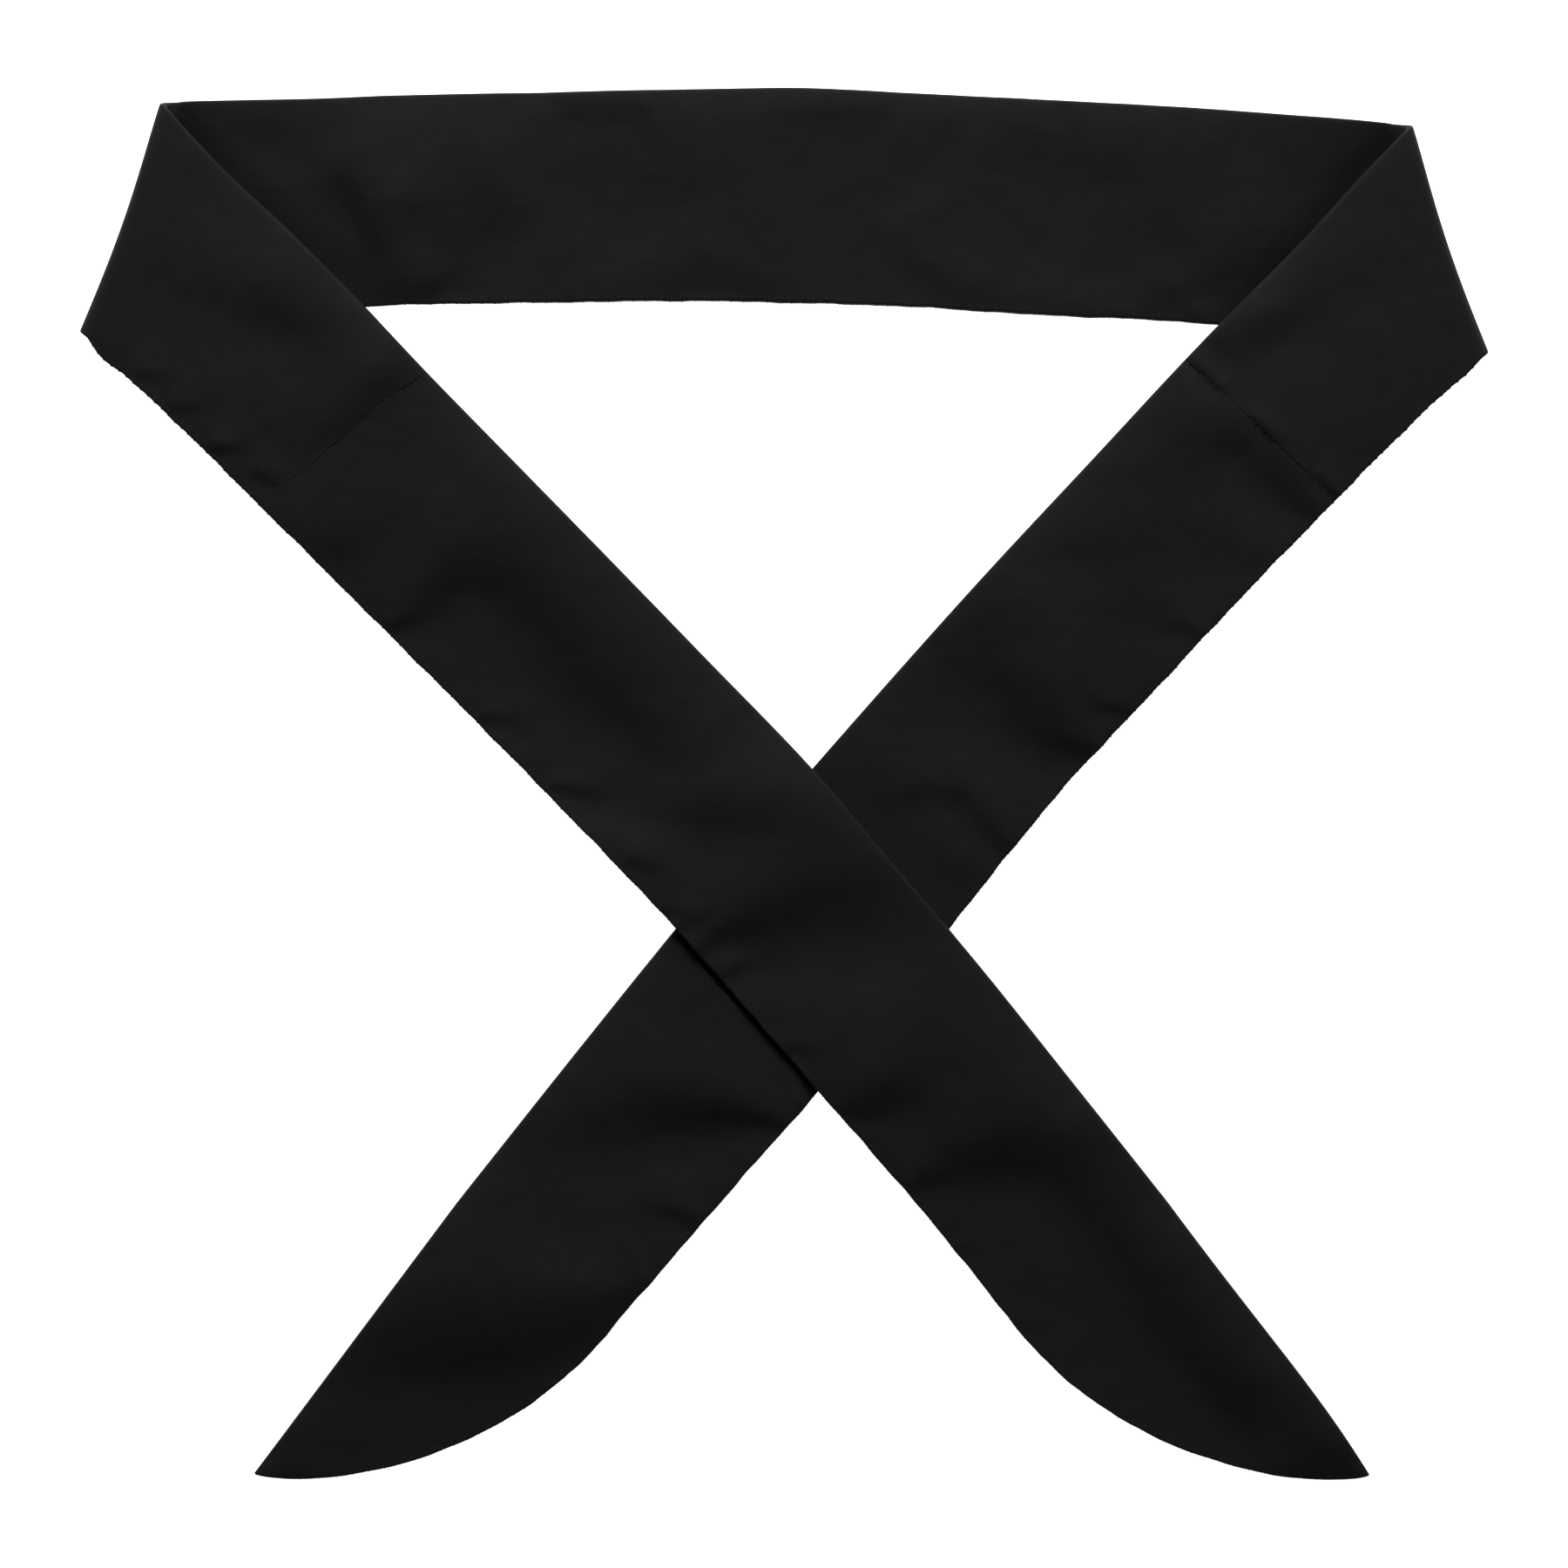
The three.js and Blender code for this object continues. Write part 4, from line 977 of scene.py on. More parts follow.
def finish_cloth(piece, rings, shares, tables, clear, pressed, phase, settings):
    """Marks the worn edges, subdivides the mesh, lays the creases into it and gives it its cloth.

    A table is whether it is for the legs, its creases, and the share of them that stands up. Clear tells how
    free a point is of layers above it, and pressed how far one above pushes it down.
    """
    mesh = piece.data
    insets = [np.linalg.norm(rings - rings[:, [column]], axis=2) for column in (0, SEAM_COLUMN)]
    worn_edge = np.exp(-np.min(insets, axis=0) / WORN_REACH)
    marks = dict(zip(SHARES, np.moveaxis(shares, 2, 0)), worn_edge=worn_edge)
    for name, values in marks.items():
        attribute = mesh.attributes.new(name, "FLOAT", "POINT")
        attribute.data.foreach_set("value", values.astype(np.float32).ravel())
    mesh.materials.append(black_cloth(settings))
    smooth = piece.modifiers.new("smooth", "SUBSURF")
    smooth.levels = smooth.render_levels = 1
    bpy.ops.object.select_all(action="DESELECT")
    bpy.context.view_layer.objects.active = piece
    piece.select_set(True)
    bpy.ops.object.modifier_apply(modifier=smooth.name)
    piece.select_set(False)
    points = mesh_points(mesh)
    goes_up, may_sink, on_leg = (mesh_values(mesh, name) for name in SHARES)
    height = RUMPLE_HEIGHT * rumple(points[:, :2], phase)
    leg = on_leg > 0.5
    for is_for_legs, creases, lift in tables:
        chosen = leg == is_for_legs
        height[chosen] += settings.crease_depth * crease_relief(creases, points[chosen, :2], lift)
    open_share = clear(points[:, :2], on_leg)
    height = np.clip(height, None, 0) + open_share * np.clip(height, 0, None) - leg * pressed(points[:, :2])
    may_sink = np.maximum(may_sink, 1e-9)
    points[:, 2] += goes_up * np.clip(height, 0, None)
    points[:, 2] -= may_sink * np.tanh(np.clip(-height, 0, None) / may_sink)
    set_points(piece, points)
    for name in (*SHARES, END_CREASE):
        mesh.attributes.remove(mesh.attributes[name])


def remember_rings(piece, rings, along, stitched):
    """Notes how a cloth's mesh is laid out, and from which ring to which its seam edge has stitches."""
    piece["rings"] = list(rings.shape[:2])
    piece["along"] = [float(length) for length in along]
    piece["stitched"] = [int(number) for number in stitched]


def ring_points(piece):
    """The points of a finished cloth in rings: its subdivided mesh keeps them first and in their order."""
    count, around = piece["rings"]
    return mesh_points(piece.data)[: count * around].reshape(count, around, 3)


def face_columns(around):
    """Column numbers of the outer face from fold to seam edge, and of the inner face in the same order."""
    return np.arange(1, SEAM_COLUMN), np.arange(around - 1, SEAM_COLUMN, -1)


def free_share(rings, up_columns, ends):
    """How free a point of the upper face is: held at both edges and at the ends of the stretch."""
    face = rings[:, up_columns]
    from_fold = np.linalg.norm(face - rings[:, :1], axis=2)
    from_seam = np.linalg.norm(face - rings[:, [SEAM_COLUMN]], axis=2)
    share = smoothstep(from_fold, *FOLD_FREE) * smoothstep(from_seam, *SEAM_FREE)
    return share * ends[:, None]


def end_share(along, start, end, reach=END_HELD):
    """1 along a stretch, falling to 0 at both of its ends."""
    return smoothstep(along, start, start + reach) * (1 - smoothstep(along, end - reach, end))


def flat_length(sections):
    """Length of a tail as cut, along its fold edge."""
    return float(np.linalg.norm(np.diff(sections.fold, axis=0), axis=1).sum())


def add_tail(name, rows, base, tables, bow, swell, settings, clear, pressed):
    """A flat tie from its cross seam to its curved point."""
    phase = PHASES[name]
    strip = Strip(rows)
    seam_length = strip.length_at(CROSS_SEAM_ROW)
    start = seam_length - END_OVERLAP / 2
    body = strip.sections(spread(start, strip.lengths[-1], TAIL_STEP, round_start=True))
    sections = joined(body, tip_sections(strip, swell))
    set_cross_seam(sections, seam_length, start, bow)
    gather_seam(sections, phase, seam_length)
    rings, shares = flat_rings(sections, True, base, UNSEEN_STEPS)
    piece = ring_mesh(name + "_cloth", rings, sections.along)
    outer = face_columns(rings.shape[1])[0]
    ends = end_share(sections.along, sections.along[0], sections.along[-1] - POINT_HELD)
    moved = simulate_upper_face(piece, rings, outer, free_share(rings, outer, ends))
    rings = hold_back(rings, moved, outer, shares[..., 1], clear(rings[..., :2], 1.0))
    set_points(piece, rings)
    faces_point_out(piece)
    finish_cloth(piece, rings, shares, tables, clear, pressed, phase, settings)
    stitched = np.flatnonzero(sections.width > LEAST_STITCHED_WIDTH)[-1]
    remember_rings(piece, rings, sections.along, [0, stitched])
    piece["flat_length"] = flat_length(sections)
    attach(piece, "root")
    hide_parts(name)
    return piece


def add_pocket(settings):
    """The padded middle: left leg down to its cross seam, neck span below, right leg to its seam."""
    neck, left, right = Strip(NECK_ROWS), Strip(LEFT_ROWS), Strip(RIGHT_ROWS)
    legs = []
    for strip, bow, flap in ((left, LEFT_SEAM_BOW, "left_flap"), (right, RIGHT_SEAM_BOW, "right_flap")):
        seam_length = strip.length_at(CROSS_SEAM_ROW)
        end = seam_length + END_OVERLAP / 2
        sections = strip.sections(spread(0, end, POCKET_STEP, round_end=True))
        set_cross_seam(sections, seam_length, end, bow)
        set_corner(sections, 0)
        gather_seam(sections, PHASES[flap], seam_length)
        legs.append(sections)
    span = neck.sections(spread(0, neck.lengths[-1], POCKET_STEP))
    set_corner(span, np.where(span.along < neck.lengths[-1] / 2, 0, neck.lengths[-1]))
    gather_seam(span, PHASES["neck_pocket"])
    flats = [
        flat_rings(legs[0], True, over_neck_at_left),
        flat_rings(span, False, on_the_surface),
        flat_rings(legs[1], True, over_neck_at_right),
    ]
    (left_rings, left_shares), (span_rings, span_shares), (right_rings, right_shares) = flats
    first, last = slice(0, 1), slice(-1, None)
    left_turn = turn_rings(span.part(first), legs[0].part(first))
    right_turn = turn_rings(span.part(last), legs[1].part(first))
    lift_flap_edge(left_rings, CORNER_LOFT, NECK_SEAM_AT_LEFT)
    lift_flap_edge(right_rings, CORNER_LOFT, NECK_SEAM_AT_RIGHT)
    for shares, sections in ((left_shares, legs[0]), (right_shares, legs[1])):
        shares[..., 0:2] *= smoothstep(sections.along, 0, TURN_CALM)[:, None, None]
    span_shares[..., 0:2] *= end_share(span.along, 0, span.along[-1], TURN_CALM)[:, None, None]
    still = np.zeros((len(left_turn), left_rings.shape[1], 3))
    rings = np.concatenate([left_rings[::-1], left_turn[::-1], span_rings, right_turn, right_rings])
    shares = np.concatenate([left_shares[::-1], still, span_shares, still, right_shares])
    turn = math.pi * CORNER_LOFT * np.arange(1, TURN_STEPS) / TURN_STEPS
    along = np.concatenate([
        -legs[0].along[::-1] - turn[-1],
        -turn[::-1],
        span.along,
        span.along[-1] + turn,
        span.along[-1] + turn[-1] + legs[1].along,
    ])
    piece = ring_mesh("neck_pocket_cloth", rings, along)
    counts = np.cumsum([len(part) for part in (left_rings, left_turn, span_rings, right_turn, right_rings)])
    rings = settle_pocket(piece, rings, shares, along, counts)
    set_points(piece, rings)
    faces_point_out(piece)
    tables = [
        (True, LEFT_CREASES + RIGHT_CREASES, CREASE_LIFT),
        (True, PADDING_END, 1.0),
        (False, NECK_TUCKS, TUCK_LIFT),
        (False, NECK_CREASES, CREASE_LIFT),
    ]
    finish_cloth(
        piece, rings, shares, tables, pocket_is_clear, on_the_surface, PHASES["neck_pocket"], settings,
    )
    own = [legs[0].along[::-1], turn, span.along, turn, legs[1].along]
    seam_x = span_rings[:, SEAM_COLUMN, 0]
    shown = np.flatnonzero(np.abs(seam_x - np.mean(NECK_STITCHED)) < np.ptp(NECK_STITCHED) / 2)
    stitched = [0, counts[0] - 2, counts[1] + shown[0], counts[1] + shown[-1], counts[3] + 1, counts[4] - 1]
    remember_rings(piece, rings, np.concatenate(own), stitched)
    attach(piece, "root")
    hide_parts("neck_pocket")
    return piece


def settle_pocket(piece, rings, shares, along, counts):
    """The pocket's upper faces move in one simulation: outer on the legs, inner at the neck span."""
    count, around = rings.shape[:2]
    outer, inner = face_columns(around)
    free = np.zeros((count, around))
    stretches = ((0, counts[0], outer), (counts[1], counts[2], inner), (counts[3], counts[4], outer))
    for first, last, face in stretches:
        ends = end_share(along[first:last], along[first], along[last - 1])
        free[first:last, face] = free_share(rings[first:last], face, ends)
    moved = simulate_upper_face(piece, rings, np.arange(around), free)
    for first, last, face in stretches:
        part = slice(first, last)
        clear = pocket_is_clear(rings[part, :, :2], 1.0 if face is outer else 0.0)
        rings[part] = hold_back(rings[part], moved[part], face, shares[part, :, 1], clear)
    return rings


def pocket_is_clear(points, on_leg):
    """1 on the flaps and legs and where nothing lies on the neck span, falling to 0 under the flaps."""
    lines = (LEFT_FLAP_LINE, RIGHT_FLAP_LINE)
    outside = np.min([distance_outside(line, points) for line in lines], axis=0)
    return np.where(np.asarray(on_leg) > 0.5, 1.0, smoothstep(outside, *FLAP_CLEARS))


def nothing_above(points, on_leg):
    return np.ones(points.shape[:-1])


def outside_left_tail(points):
    """Distance from the left tail where it lies on the right one: negative under it."""
    lines = (LEFT_TAIL_SEAM_LINE, LEFT_TAIL_FOLD_LINE)
    return np.max([distance_outside(line, points) for line in lines], axis=0)


def left_tail_above(points, on_leg):
    """0 where the left tail lies on the right one, 1 clear of it."""
    return smoothstep(outside_left_tail(points), *LEFT_TAIL_CLEARS)


def pressed_by_left_tail(points):
    """How much lower the right tail is under the left one, and how much higher beside its seam edge."""
    outside = distance_outside(LEFT_TAIL_SEAM_LINE, points)
    beside = smoothstep(outside, *PRESS_ENDS)
    past_fold = distance_outside(LEFT_TAIL_FOLD_LINE, points)
    under = (1 - beside) * (1 - smoothstep(past_fold, *PRESS_FOLD_ENDS))
    inset = smoothstep(-past_fold, 0, PRESS_FULL_INSET)
    under = under * (PRESS_FOLD_SHARE + (1 - PRESS_FOLD_SHARE) * inset)
    inwards = np.clip(-distance_outside(RIGHT_TAIL_FOLD_LINE, points), 0, None)
    pushed = beside * np.exp(-(inwards + np.clip(outside, 0, None)) / PUSHED_UP_REACH)
    return PRESS_DEPTH * under - PUSHED_UP * pushed


def rows_at(along, rows, places):
    """Rows of points read at places between their lengths along the band."""
    index = np.clip(np.searchsorted(along, places) - 1, 0, len(along) - 2)
    share = ((places - along[index]) / (along[index + 1] - along[index]))[:, None]
    return rows[index] * (1 - share) + rows[index + 1] * share


def slanted(places, step, steps):
    """Where a stitch that leans along the seam passes the line of this step."""
    return places + STITCH_SLANT * (step / (steps - 1) - 0.5)


def edge_stitches(rings, along, top):
    """Paths of the stitches over the seam edge, and the way the edge runs there.

    Top is 1 where the outer face is up, and -1 where it is down.
    """
    seam = SEAM_COLUMN
    if along[0] > along[-1]:
        rings, along = rings[::-1], along[::-1]
    first = np.ceil((along[0] + STITCH_SLANT) / STITCH_PITCH)
    last = np.floor((along[-1] - STITCH_SLANT) / STITCH_PITCH)
    places = STITCH_PITCH * np.arange(first, last + 1)
    between_lips = (rings[:, seam - 1] + rings[:, seam + 1]) / 2
    core = (rings[:, seam - CORE_COLUMN] + rings[:, seam + CORE_COLUMN]) / 2
    over_upper = [rings[:, seam - top * k] for k in OVER_UPPER_LIP]
    over_lower = [rings[:, seam + top * k] for k in OVER_LOWER_LIP]
    over = [*over_upper, between_lips, *over_lower]
    path = []
    for step, (rows, stands_off) in enumerate(zip(over, EDGE_STANDS_OFF)):
        here = slanted(places, step, len(over))
        point = rows_at(along, rows, here)
        outward = point - rows_at(along, core, here)
        path.append(point + outward / np.linalg.norm(outward, axis=1)[:, None] * stands_off)
    before, after = (rows_at(along, between_lips, places + side * STITCH_PITCH / 4) for side in (-1, 1))
    return np.stack(path, axis=1), after - before


def cross_stitches(pocket_rings, tail_rings, pitch):
    """Paths of the threads across a cross seam, and the way it runs; the rings beside it come first."""
    count = len(END_STATIONS)
    pocket_rings, tail_rings = (rings[:count, 1:SEAM_COLUMN] for rings in (pocket_rings, tail_rings))
    face = tail_rings[4]
    across = np.concatenate([[0], np.cumsum(np.linalg.norm(np.diff(face, axis=0), axis=1))])
    places = np.arange(CROSS_FIRST, across[-1] - CROSS_FIRST / 2, pitch)
    over_gap = (pocket_rings[2] + tail_rings[2]) / 2
    over = (pocket_rings[4], pocket_rings[3], over_gap, tail_rings[3], tail_rings[4])
    path = []
    for step, (rows, stands_off) in enumerate(zip(over, CROSS_STANDS_OFF)):
        point = rows_at(across, rows, slanted(places, step, len(over)))
        path.append(point + np.array([0, 0, stands_off]))
    return np.stack(path, axis=1), np.repeat([face[-1] - face[0]], len(places), axis=0)


def add_threads(name, paths, runs, settings):
    """Thin tubes round paths in one mesh, with a UV map in metres along a thread and in turns round it."""
    radius = settings.thread_radius
    paths[..., 2] = np.maximum(paths[..., 2], radius)
    count, steps = paths.shape[:2]
    tangent = np.gradient(paths, axis=1)
    runs = runs * [1, 1, 0]
    upward = np.cross(tangent, runs[:, None, :])
    upward /= np.linalg.norm(upward, axis=2)[..., None]
    aside = np.cross(upward, tangent)
    aside /= np.linalg.norm(aside, axis=2)[..., None]
    angle = 2 * np.pi * np.arange(THREAD_SIDES) / THREAD_SIDES
    spoke = aside[:, :, None] * np.cos(angle)[:, None] + upward[:, :, None] * np.sin(angle)[:, None]
    points = paths[:, :, None] + radius * spoke
    number = np.arange(count * steps * THREAD_SIDES).reshape(count, steps, THREAD_SIDES)
    after = np.roll(number, -1, axis=2)
    quads = np.stack([number[:, :-1], after[:, :-1], after[:, 1:], number[:, 1:]], axis=-1).reshape(-1, 4)
    ends = number[:, 0, ::-1].tolist() + number[:, -1].tolist()
    mesh = bpy.data.meshes.new(name)
    mesh.from_pydata(points.reshape(-1, 3).tolist(), [], quads.tolist() + ends)
    length = np.cumsum(np.linalg.norm(np.diff(paths, axis=1, prepend=paths[:, :1]), axis=2), axis=1)
    turns = np.arange(THREAD_SIDES + 1) / THREAD_SIDES
    uv = np.zeros((len(quads) * 4 + len(ends) * THREAD_SIDES, 2))
    for k, (down, right) in enumerate(QUAD_CORNERS):
        u = np.broadcast_to(length[:, down : steps - 1 + down, None], (count, steps - 1, THREAD_SIDES))
        v = np.broadcast_to(turns[right : THREAD_SIDES + right], (count, steps - 1, THREAD_SIDES))
        uv[k : len(quads) * 4 : 4] = np.stack([u.ravel(), v.ravel()], axis=1)
    mesh.uv_layers.new(name="thread").data.foreach_set("uv", uv.astype(np.float32).ravel())
    mesh.materials.append(black_thread(settings))
    piece = new_piece(name, mesh)
    faces_point_out(piece)
    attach(piece, "root")
    return piece


def add_edge_stitches(cloth, name, settings):
    """The stitches over the seam edge of one cloth."""
    rings, along = ring_points(cloth), np.array(cloth["along"])
    lip = OVER_UPPER_LIP[0]
    paths, runs = [], []
    for first, last in np.reshape(cloth["stitched"], (-1, 2)):
        part = slice(first, last + 1)
        outer_is_up = rings[first, SEAM_COLUMN - lip, 2] > rings[first, SEAM_COLUMN + lip, 2]
        path, run = edge_stitches(rings[part], along[part], 1 if outer_is_up else -1)
        paths.append(path)
        runs.append(run)
    return add_threads(name, np.concatenate(paths), np.concatenate(runs), settings)


def math_node(tree, operation, *values):
    """The output of a new Math node, fed by sockets or plain numbers."""
    node = tree.nodes.new("ShaderNodeMath")
    node.operation = operation
    for socket, value in zip(node.inputs, values):
        if isinstance(value, bpy.types.NodeSocket):
            tree.links.new(value, socket)
        else:
            socket.default_value = value
    return node.outputs[0]


def new_group(name, inputs, outputs):
    """An empty shader node group with float or vector inputs and float outputs."""
    tree = bpy.data.node_groups.new(name, "ShaderNodeTree")
    for label, kind, value in inputs:
        socket = tree.interface.new_socket(label, in_out="INPUT", socket_type=kind)
        if kind == "NodeSocketFloat":
            socket.default_value = value
    for label, kind in outputs:
        tree.interface.new_socket(label, in_out="OUTPUT", socket_type=kind)
    return tree, tree.nodes.new("NodeGroupInput"), tree.nodes.new("NodeGroupOutput")


def plain_weave_group():
    """Plain weave: threads over and under each other, from a UV map in metres. Its second output marks the
    hollows where a thread dips under, for the shade that is painted into the colour there.
    """
    known = bpy.data.node_groups.get("plain weave")
    if known:
        return known
    tree, given, made = new_group(
        "plain weave",
        [("Vector", "NodeSocketVector", None), ("Thread pitch", "NodeSocketFloat", 0.00045)],
        [("Height", "NodeSocketFloat"), ("Painted shade mask", "NodeSocketFloat")],
    )
    split = tree.nodes.new("ShaderNodeSeparateXYZ")
    tree.links.new(given.outputs["Vector"], split.inputs[0])
    pitch = given.outputs["Thread pitch"]
    waves_across = []
    for axis in (0, 1):
        turns = math_node(tree, "DIVIDE", split.outputs[axis], pitch)
        waves_across.append(math_node(tree, "SINE", math_node(tree, "MULTIPLY", turns, math.pi)))
    signed = math_node(tree, "MULTIPLY", *waves_across)
    warp_on_top = math_node(tree, "GREATER_THAN", signed, 0.0)
    warp, weft = (math_node(tree, "ABSOLUTE", wave) for wave in waves_across)
    both = []
    for thread, other in ((warp, weft), (weft, warp)):
        round_top = math_node(tree, "POWER", thread, WEAVE_ROUNDNESS)
        arch = math_node(tree, "MULTIPLY_ADD", other, WEAVE_DIP, 1 - WEAVE_DIP)
        both.append(math_node(tree, "MULTIPLY", round_top, arch))
    difference = math_node(tree, "SUBTRACT", both[0], both[1])
    height = math_node(tree, "MULTIPLY_ADD", difference, warp_on_top, both[1])
    tree.links.new(height, made.inputs["Height"])
    # Painted shade mask: 1 where a thread dips under another, darkening the colour there.
    tree.links.new(math_node(tree, "SUBTRACT", 1.0, height), made.inputs["Painted shade mask"])
    return tree


def cloth_tone_group():
    """Uneven dye, worn edges and shade painted into the hollows of the relief: a factor on the cloth's
    colour.
    """
    known = bpy.data.node_groups.get("cloth tone")
    if known:
        return known
    tree, given, made = new_group(
        "cloth tone",
        [
            ("Position", "NodeSocketVector", None),
            ("Worn edge", "NodeSocketFloat", 0.0),
            ("Painted shade mask", "NodeSocketFloat", 0.0),
            ("Mottle", "NodeSocketFloat", 0.16),
            ("Wear", "NodeSocketFloat", 0.12),
            ("Shade", "NodeSocketFloat", 0.35),
        ],
        [("Factor", "NodeSocketFloat"), ("Roughness", "NodeSocketFloat")],
    )
    total = None
    for scale, share in TONE_PATTERNS:
        noise = tree.nodes.new("ShaderNodeTexNoise")
        noise.inputs["Scale"].default_value = scale
        noise.inputs["Detail"].default_value = TONE_DETAIL
        tree.links.new(given.outputs["Position"], noise.inputs["Vector"])
        part = math_node(tree, "MULTIPLY", math_node(tree, "SUBTRACT", noise.outputs[0], 0.5), 2 * share)
        total = part if total is None else math_node(tree, "ADD", total, part)
    dyed = math_node(tree, "MULTIPLY_ADD", total, given.outputs["Mottle"], 1.0)
    worn = math_node(tree, "MULTIPLY_ADD", given.outputs["Worn edge"], given.outputs["Wear"], dyed)
    # Painted shade: the colour is darkened in the relief's hollows by the share Shade.
    painted_shade = math_node(tree, "MULTIPLY", given.outputs["Painted shade mask"], given.outputs["Shade"])
    lit = math_node(tree, "SUBTRACT", 1.0, painted_shade)
    tree.links.new(math_node(tree, "MULTIPLY", worn, lit), made.inputs["Factor"])
    roughness = math_node(tree, "MULTIPLY_ADD", total, ROUGHNESS_SPREAD, ROUGHNESS)
    tree.links.new(roughness, made.inputs["Roughness"])
    return tree


def dyed_material(name, uv_map, relief, settings, strength, depth):
    """A dyed material: its relief comes from a group that reads a UV map, its tone from the shared group.

    Returns the material and the nodes that a caller sets further.
    """
    material = bpy.data.materials.new(name)
    material.use_nodes = True
    tree = material.node_tree
    shader = tree.nodes["Principled BSDF"]
    uv = tree.nodes.new("ShaderNodeUVMap")
    uv.uv_map = uv_map
    place = tree.nodes.new("ShaderNodeTexCoord")
    surface = tree.nodes.new("ShaderNodeGroup")
    surface.node_tree = relief
    tone = tree.nodes.new("ShaderNodeGroup")
    tone.node_tree = cloth_tone_group()
    colour = tree.nodes.new("ShaderNodeVectorMath")
    colour.operation = "SCALE"
    colour.inputs[0].default_value = settings.colour
    bump = tree.nodes.new("ShaderNodeBump")
    bump.inputs["Strength"].default_value = strength
    bump.inputs["Distance"].default_value = depth
    tree.links.new(uv.outputs[0], surface.inputs["Vector"])
    tree.links.new(place.outputs["Object"], tone.inputs["Position"])
    # The relief's hollows darken the colour: painted shade.
    tree.links.new(surface.outputs["Painted shade mask"], tone.inputs["Painted shade mask"])
    tree.links.new(tone.outputs["Factor"], colour.inputs["Scale"])
    tree.links.new(colour.outputs[0], shader.inputs["Base Color"])
    tree.links.new(tone.outputs["Roughness"], shader.inputs["Roughness"])
    tree.links.new(surface.outputs["Height"], bump.inputs["Height"])
    tree.links.new(bump.outputs[0], shader.inputs["Normal"])
    return material, shader, surface, tone


def black_cloth(settings):
    """Matt black cotton in plain weave, a little worn at the edges."""
    known = bpy.data.materials.get("black_cloth")
    if known:
        return known
    material, shader, weave, tone = dyed_material(
        "black_cloth", "weave", plain_weave_group(), settings,
        strength=settings.weave_strength, depth=settings.weave_depth,
    )
    weave.inputs["Thread pitch"].default_value = settings.thread_pitch
    worn = material.node_tree.nodes.new("ShaderNodeAttribute")
    worn.attribute_name = "worn_edge"
    material.node_tree.links.new(worn.outputs["Fac"], tone.inputs["Worn edge"])
    shader.inputs["Specular IOR Level"].default_value = 0.04
    shader.inputs["Sheen Weight"].default_value = settings.sheen
    shader.inputs["Sheen Roughness"].default_value = 0.45
    return material


def ply_twist_group():
    """Plies twisted round each other, from a UV map in metres along the thread and in turns round it. Its
    second output marks the grooves between the plies, for the shade that is painted into the colour there.
    """
    known = bpy.data.node_groups.get("ply twist")
    if known:
        return known
    tree, given, made = new_group(
        "ply twist",
        [
            ("Vector", "NodeSocketVector", None),
            ("Twist length", "NodeSocketFloat", 0.0009),
            ("Plies", "NodeSocketFloat", 3.0),
        ],
        [("Height", "NodeSocketFloat"), ("Painted shade mask", "NodeSocketFloat")],
    )
    split = tree.nodes.new("ShaderNodeSeparateXYZ")
    tree.links.new(given.outputs["Vector"], split.inputs[0])
    twists = math_node(tree, "DIVIDE", split.outputs[0], given.outputs["Twist length"])
    turns = math_node(tree, "ADD", twists, split.outputs[1])
    plies_passed = math_node(tree, "MULTIPLY", turns, given.outputs["Plies"])
    wave = math_node(tree, "SINE", math_node(tree, "MULTIPLY", plies_passed, math.pi))
    height = math_node(tree, "ABSOLUTE", wave)
    tree.links.new(height, made.inputs["Height"])
    # Painted shade mask: 1 in the grooves between plies, darkening the thread's colour there.
    tree.links.new(math_node(tree, "SUBTRACT", 1.0, height), made.inputs["Painted shade mask"])
    return tree


def black_thread(settings):
    """Black polished cotton thread, a little smoother than the cloth."""
    known = bpy.data.materials.get("black_thread")
    if known:
        return known
    material, shader = dyed_material(
        "black_thread", "thread", ply_twist_group(), settings,
        strength=0.6, depth=settings.thread_radius / 4,
    )[:2]
    shader.inputs["Specular IOR Level"].default_value = 0.10
    return material


class WrapCloth(bpy.types.PropertyGroup):
    """The cloth: its colour, its weave and its creases"""

    colour: FloatVectorProperty(
        name="Cloth colour", description="Dyed colour of the cloth", subtype="COLOR", size=3,
        min=0, max=1, default=(0.0086, 0.0087, 0.0088),
    )
    thread_pitch: FloatProperty(
        name="Thread pitch", description="Distance between threads of the weave", unit="LENGTH",
        min=0.0001, max=0.002, default=0.00026, precision=5,
    )
    weave_depth: FloatProperty(
        name="Weave depth", description="Height of a thread over the hollow beside it", unit="LENGTH",
        min=0, max=0.001, default=0.00006, precision=5,
    )
    weave_strength: FloatProperty(
        name="Weave strength", description="How strongly the weave turns the surface", subtype="FACTOR",
        min=0, max=1, default=0.6,
    )
    sheen: FloatProperty(
        name="Fibre sheen", description="Light caught by loose fibres at the edges", subtype="FACTOR",
        min=0, max=1, default=0.012,
    )
    crease_depth: FloatProperty(
        name="Crease depth", description="Scale of the creases in the cloth", subtype="FACTOR",
        min=0, max=2, default=1.0,
    )


class WrapThread(bpy.types.PropertyGroup):
    """The sewing thread"""

    colour: FloatVectorProperty(
        name="Thread colour", description="Dyed colour of the sewing thread", subtype="COLOR", size=3,
        min=0, max=1, default=(0.0092, 0.0092, 0.0094),
    )
    thread_radius: FloatProperty(
        name="Thread radius", description="Half the thickness of the sewing thread", unit="LENGTH",
        min=0.00004, max=0.0005, default=0.00011, precision=5,
    )
    cross_pitch: FloatProperty(
        name="Cross seam pitch", description="Distance between threads across a cross seam", unit="LENGTH",
        min=0.001, max=0.01, default=0.0026, precision=4,
    )


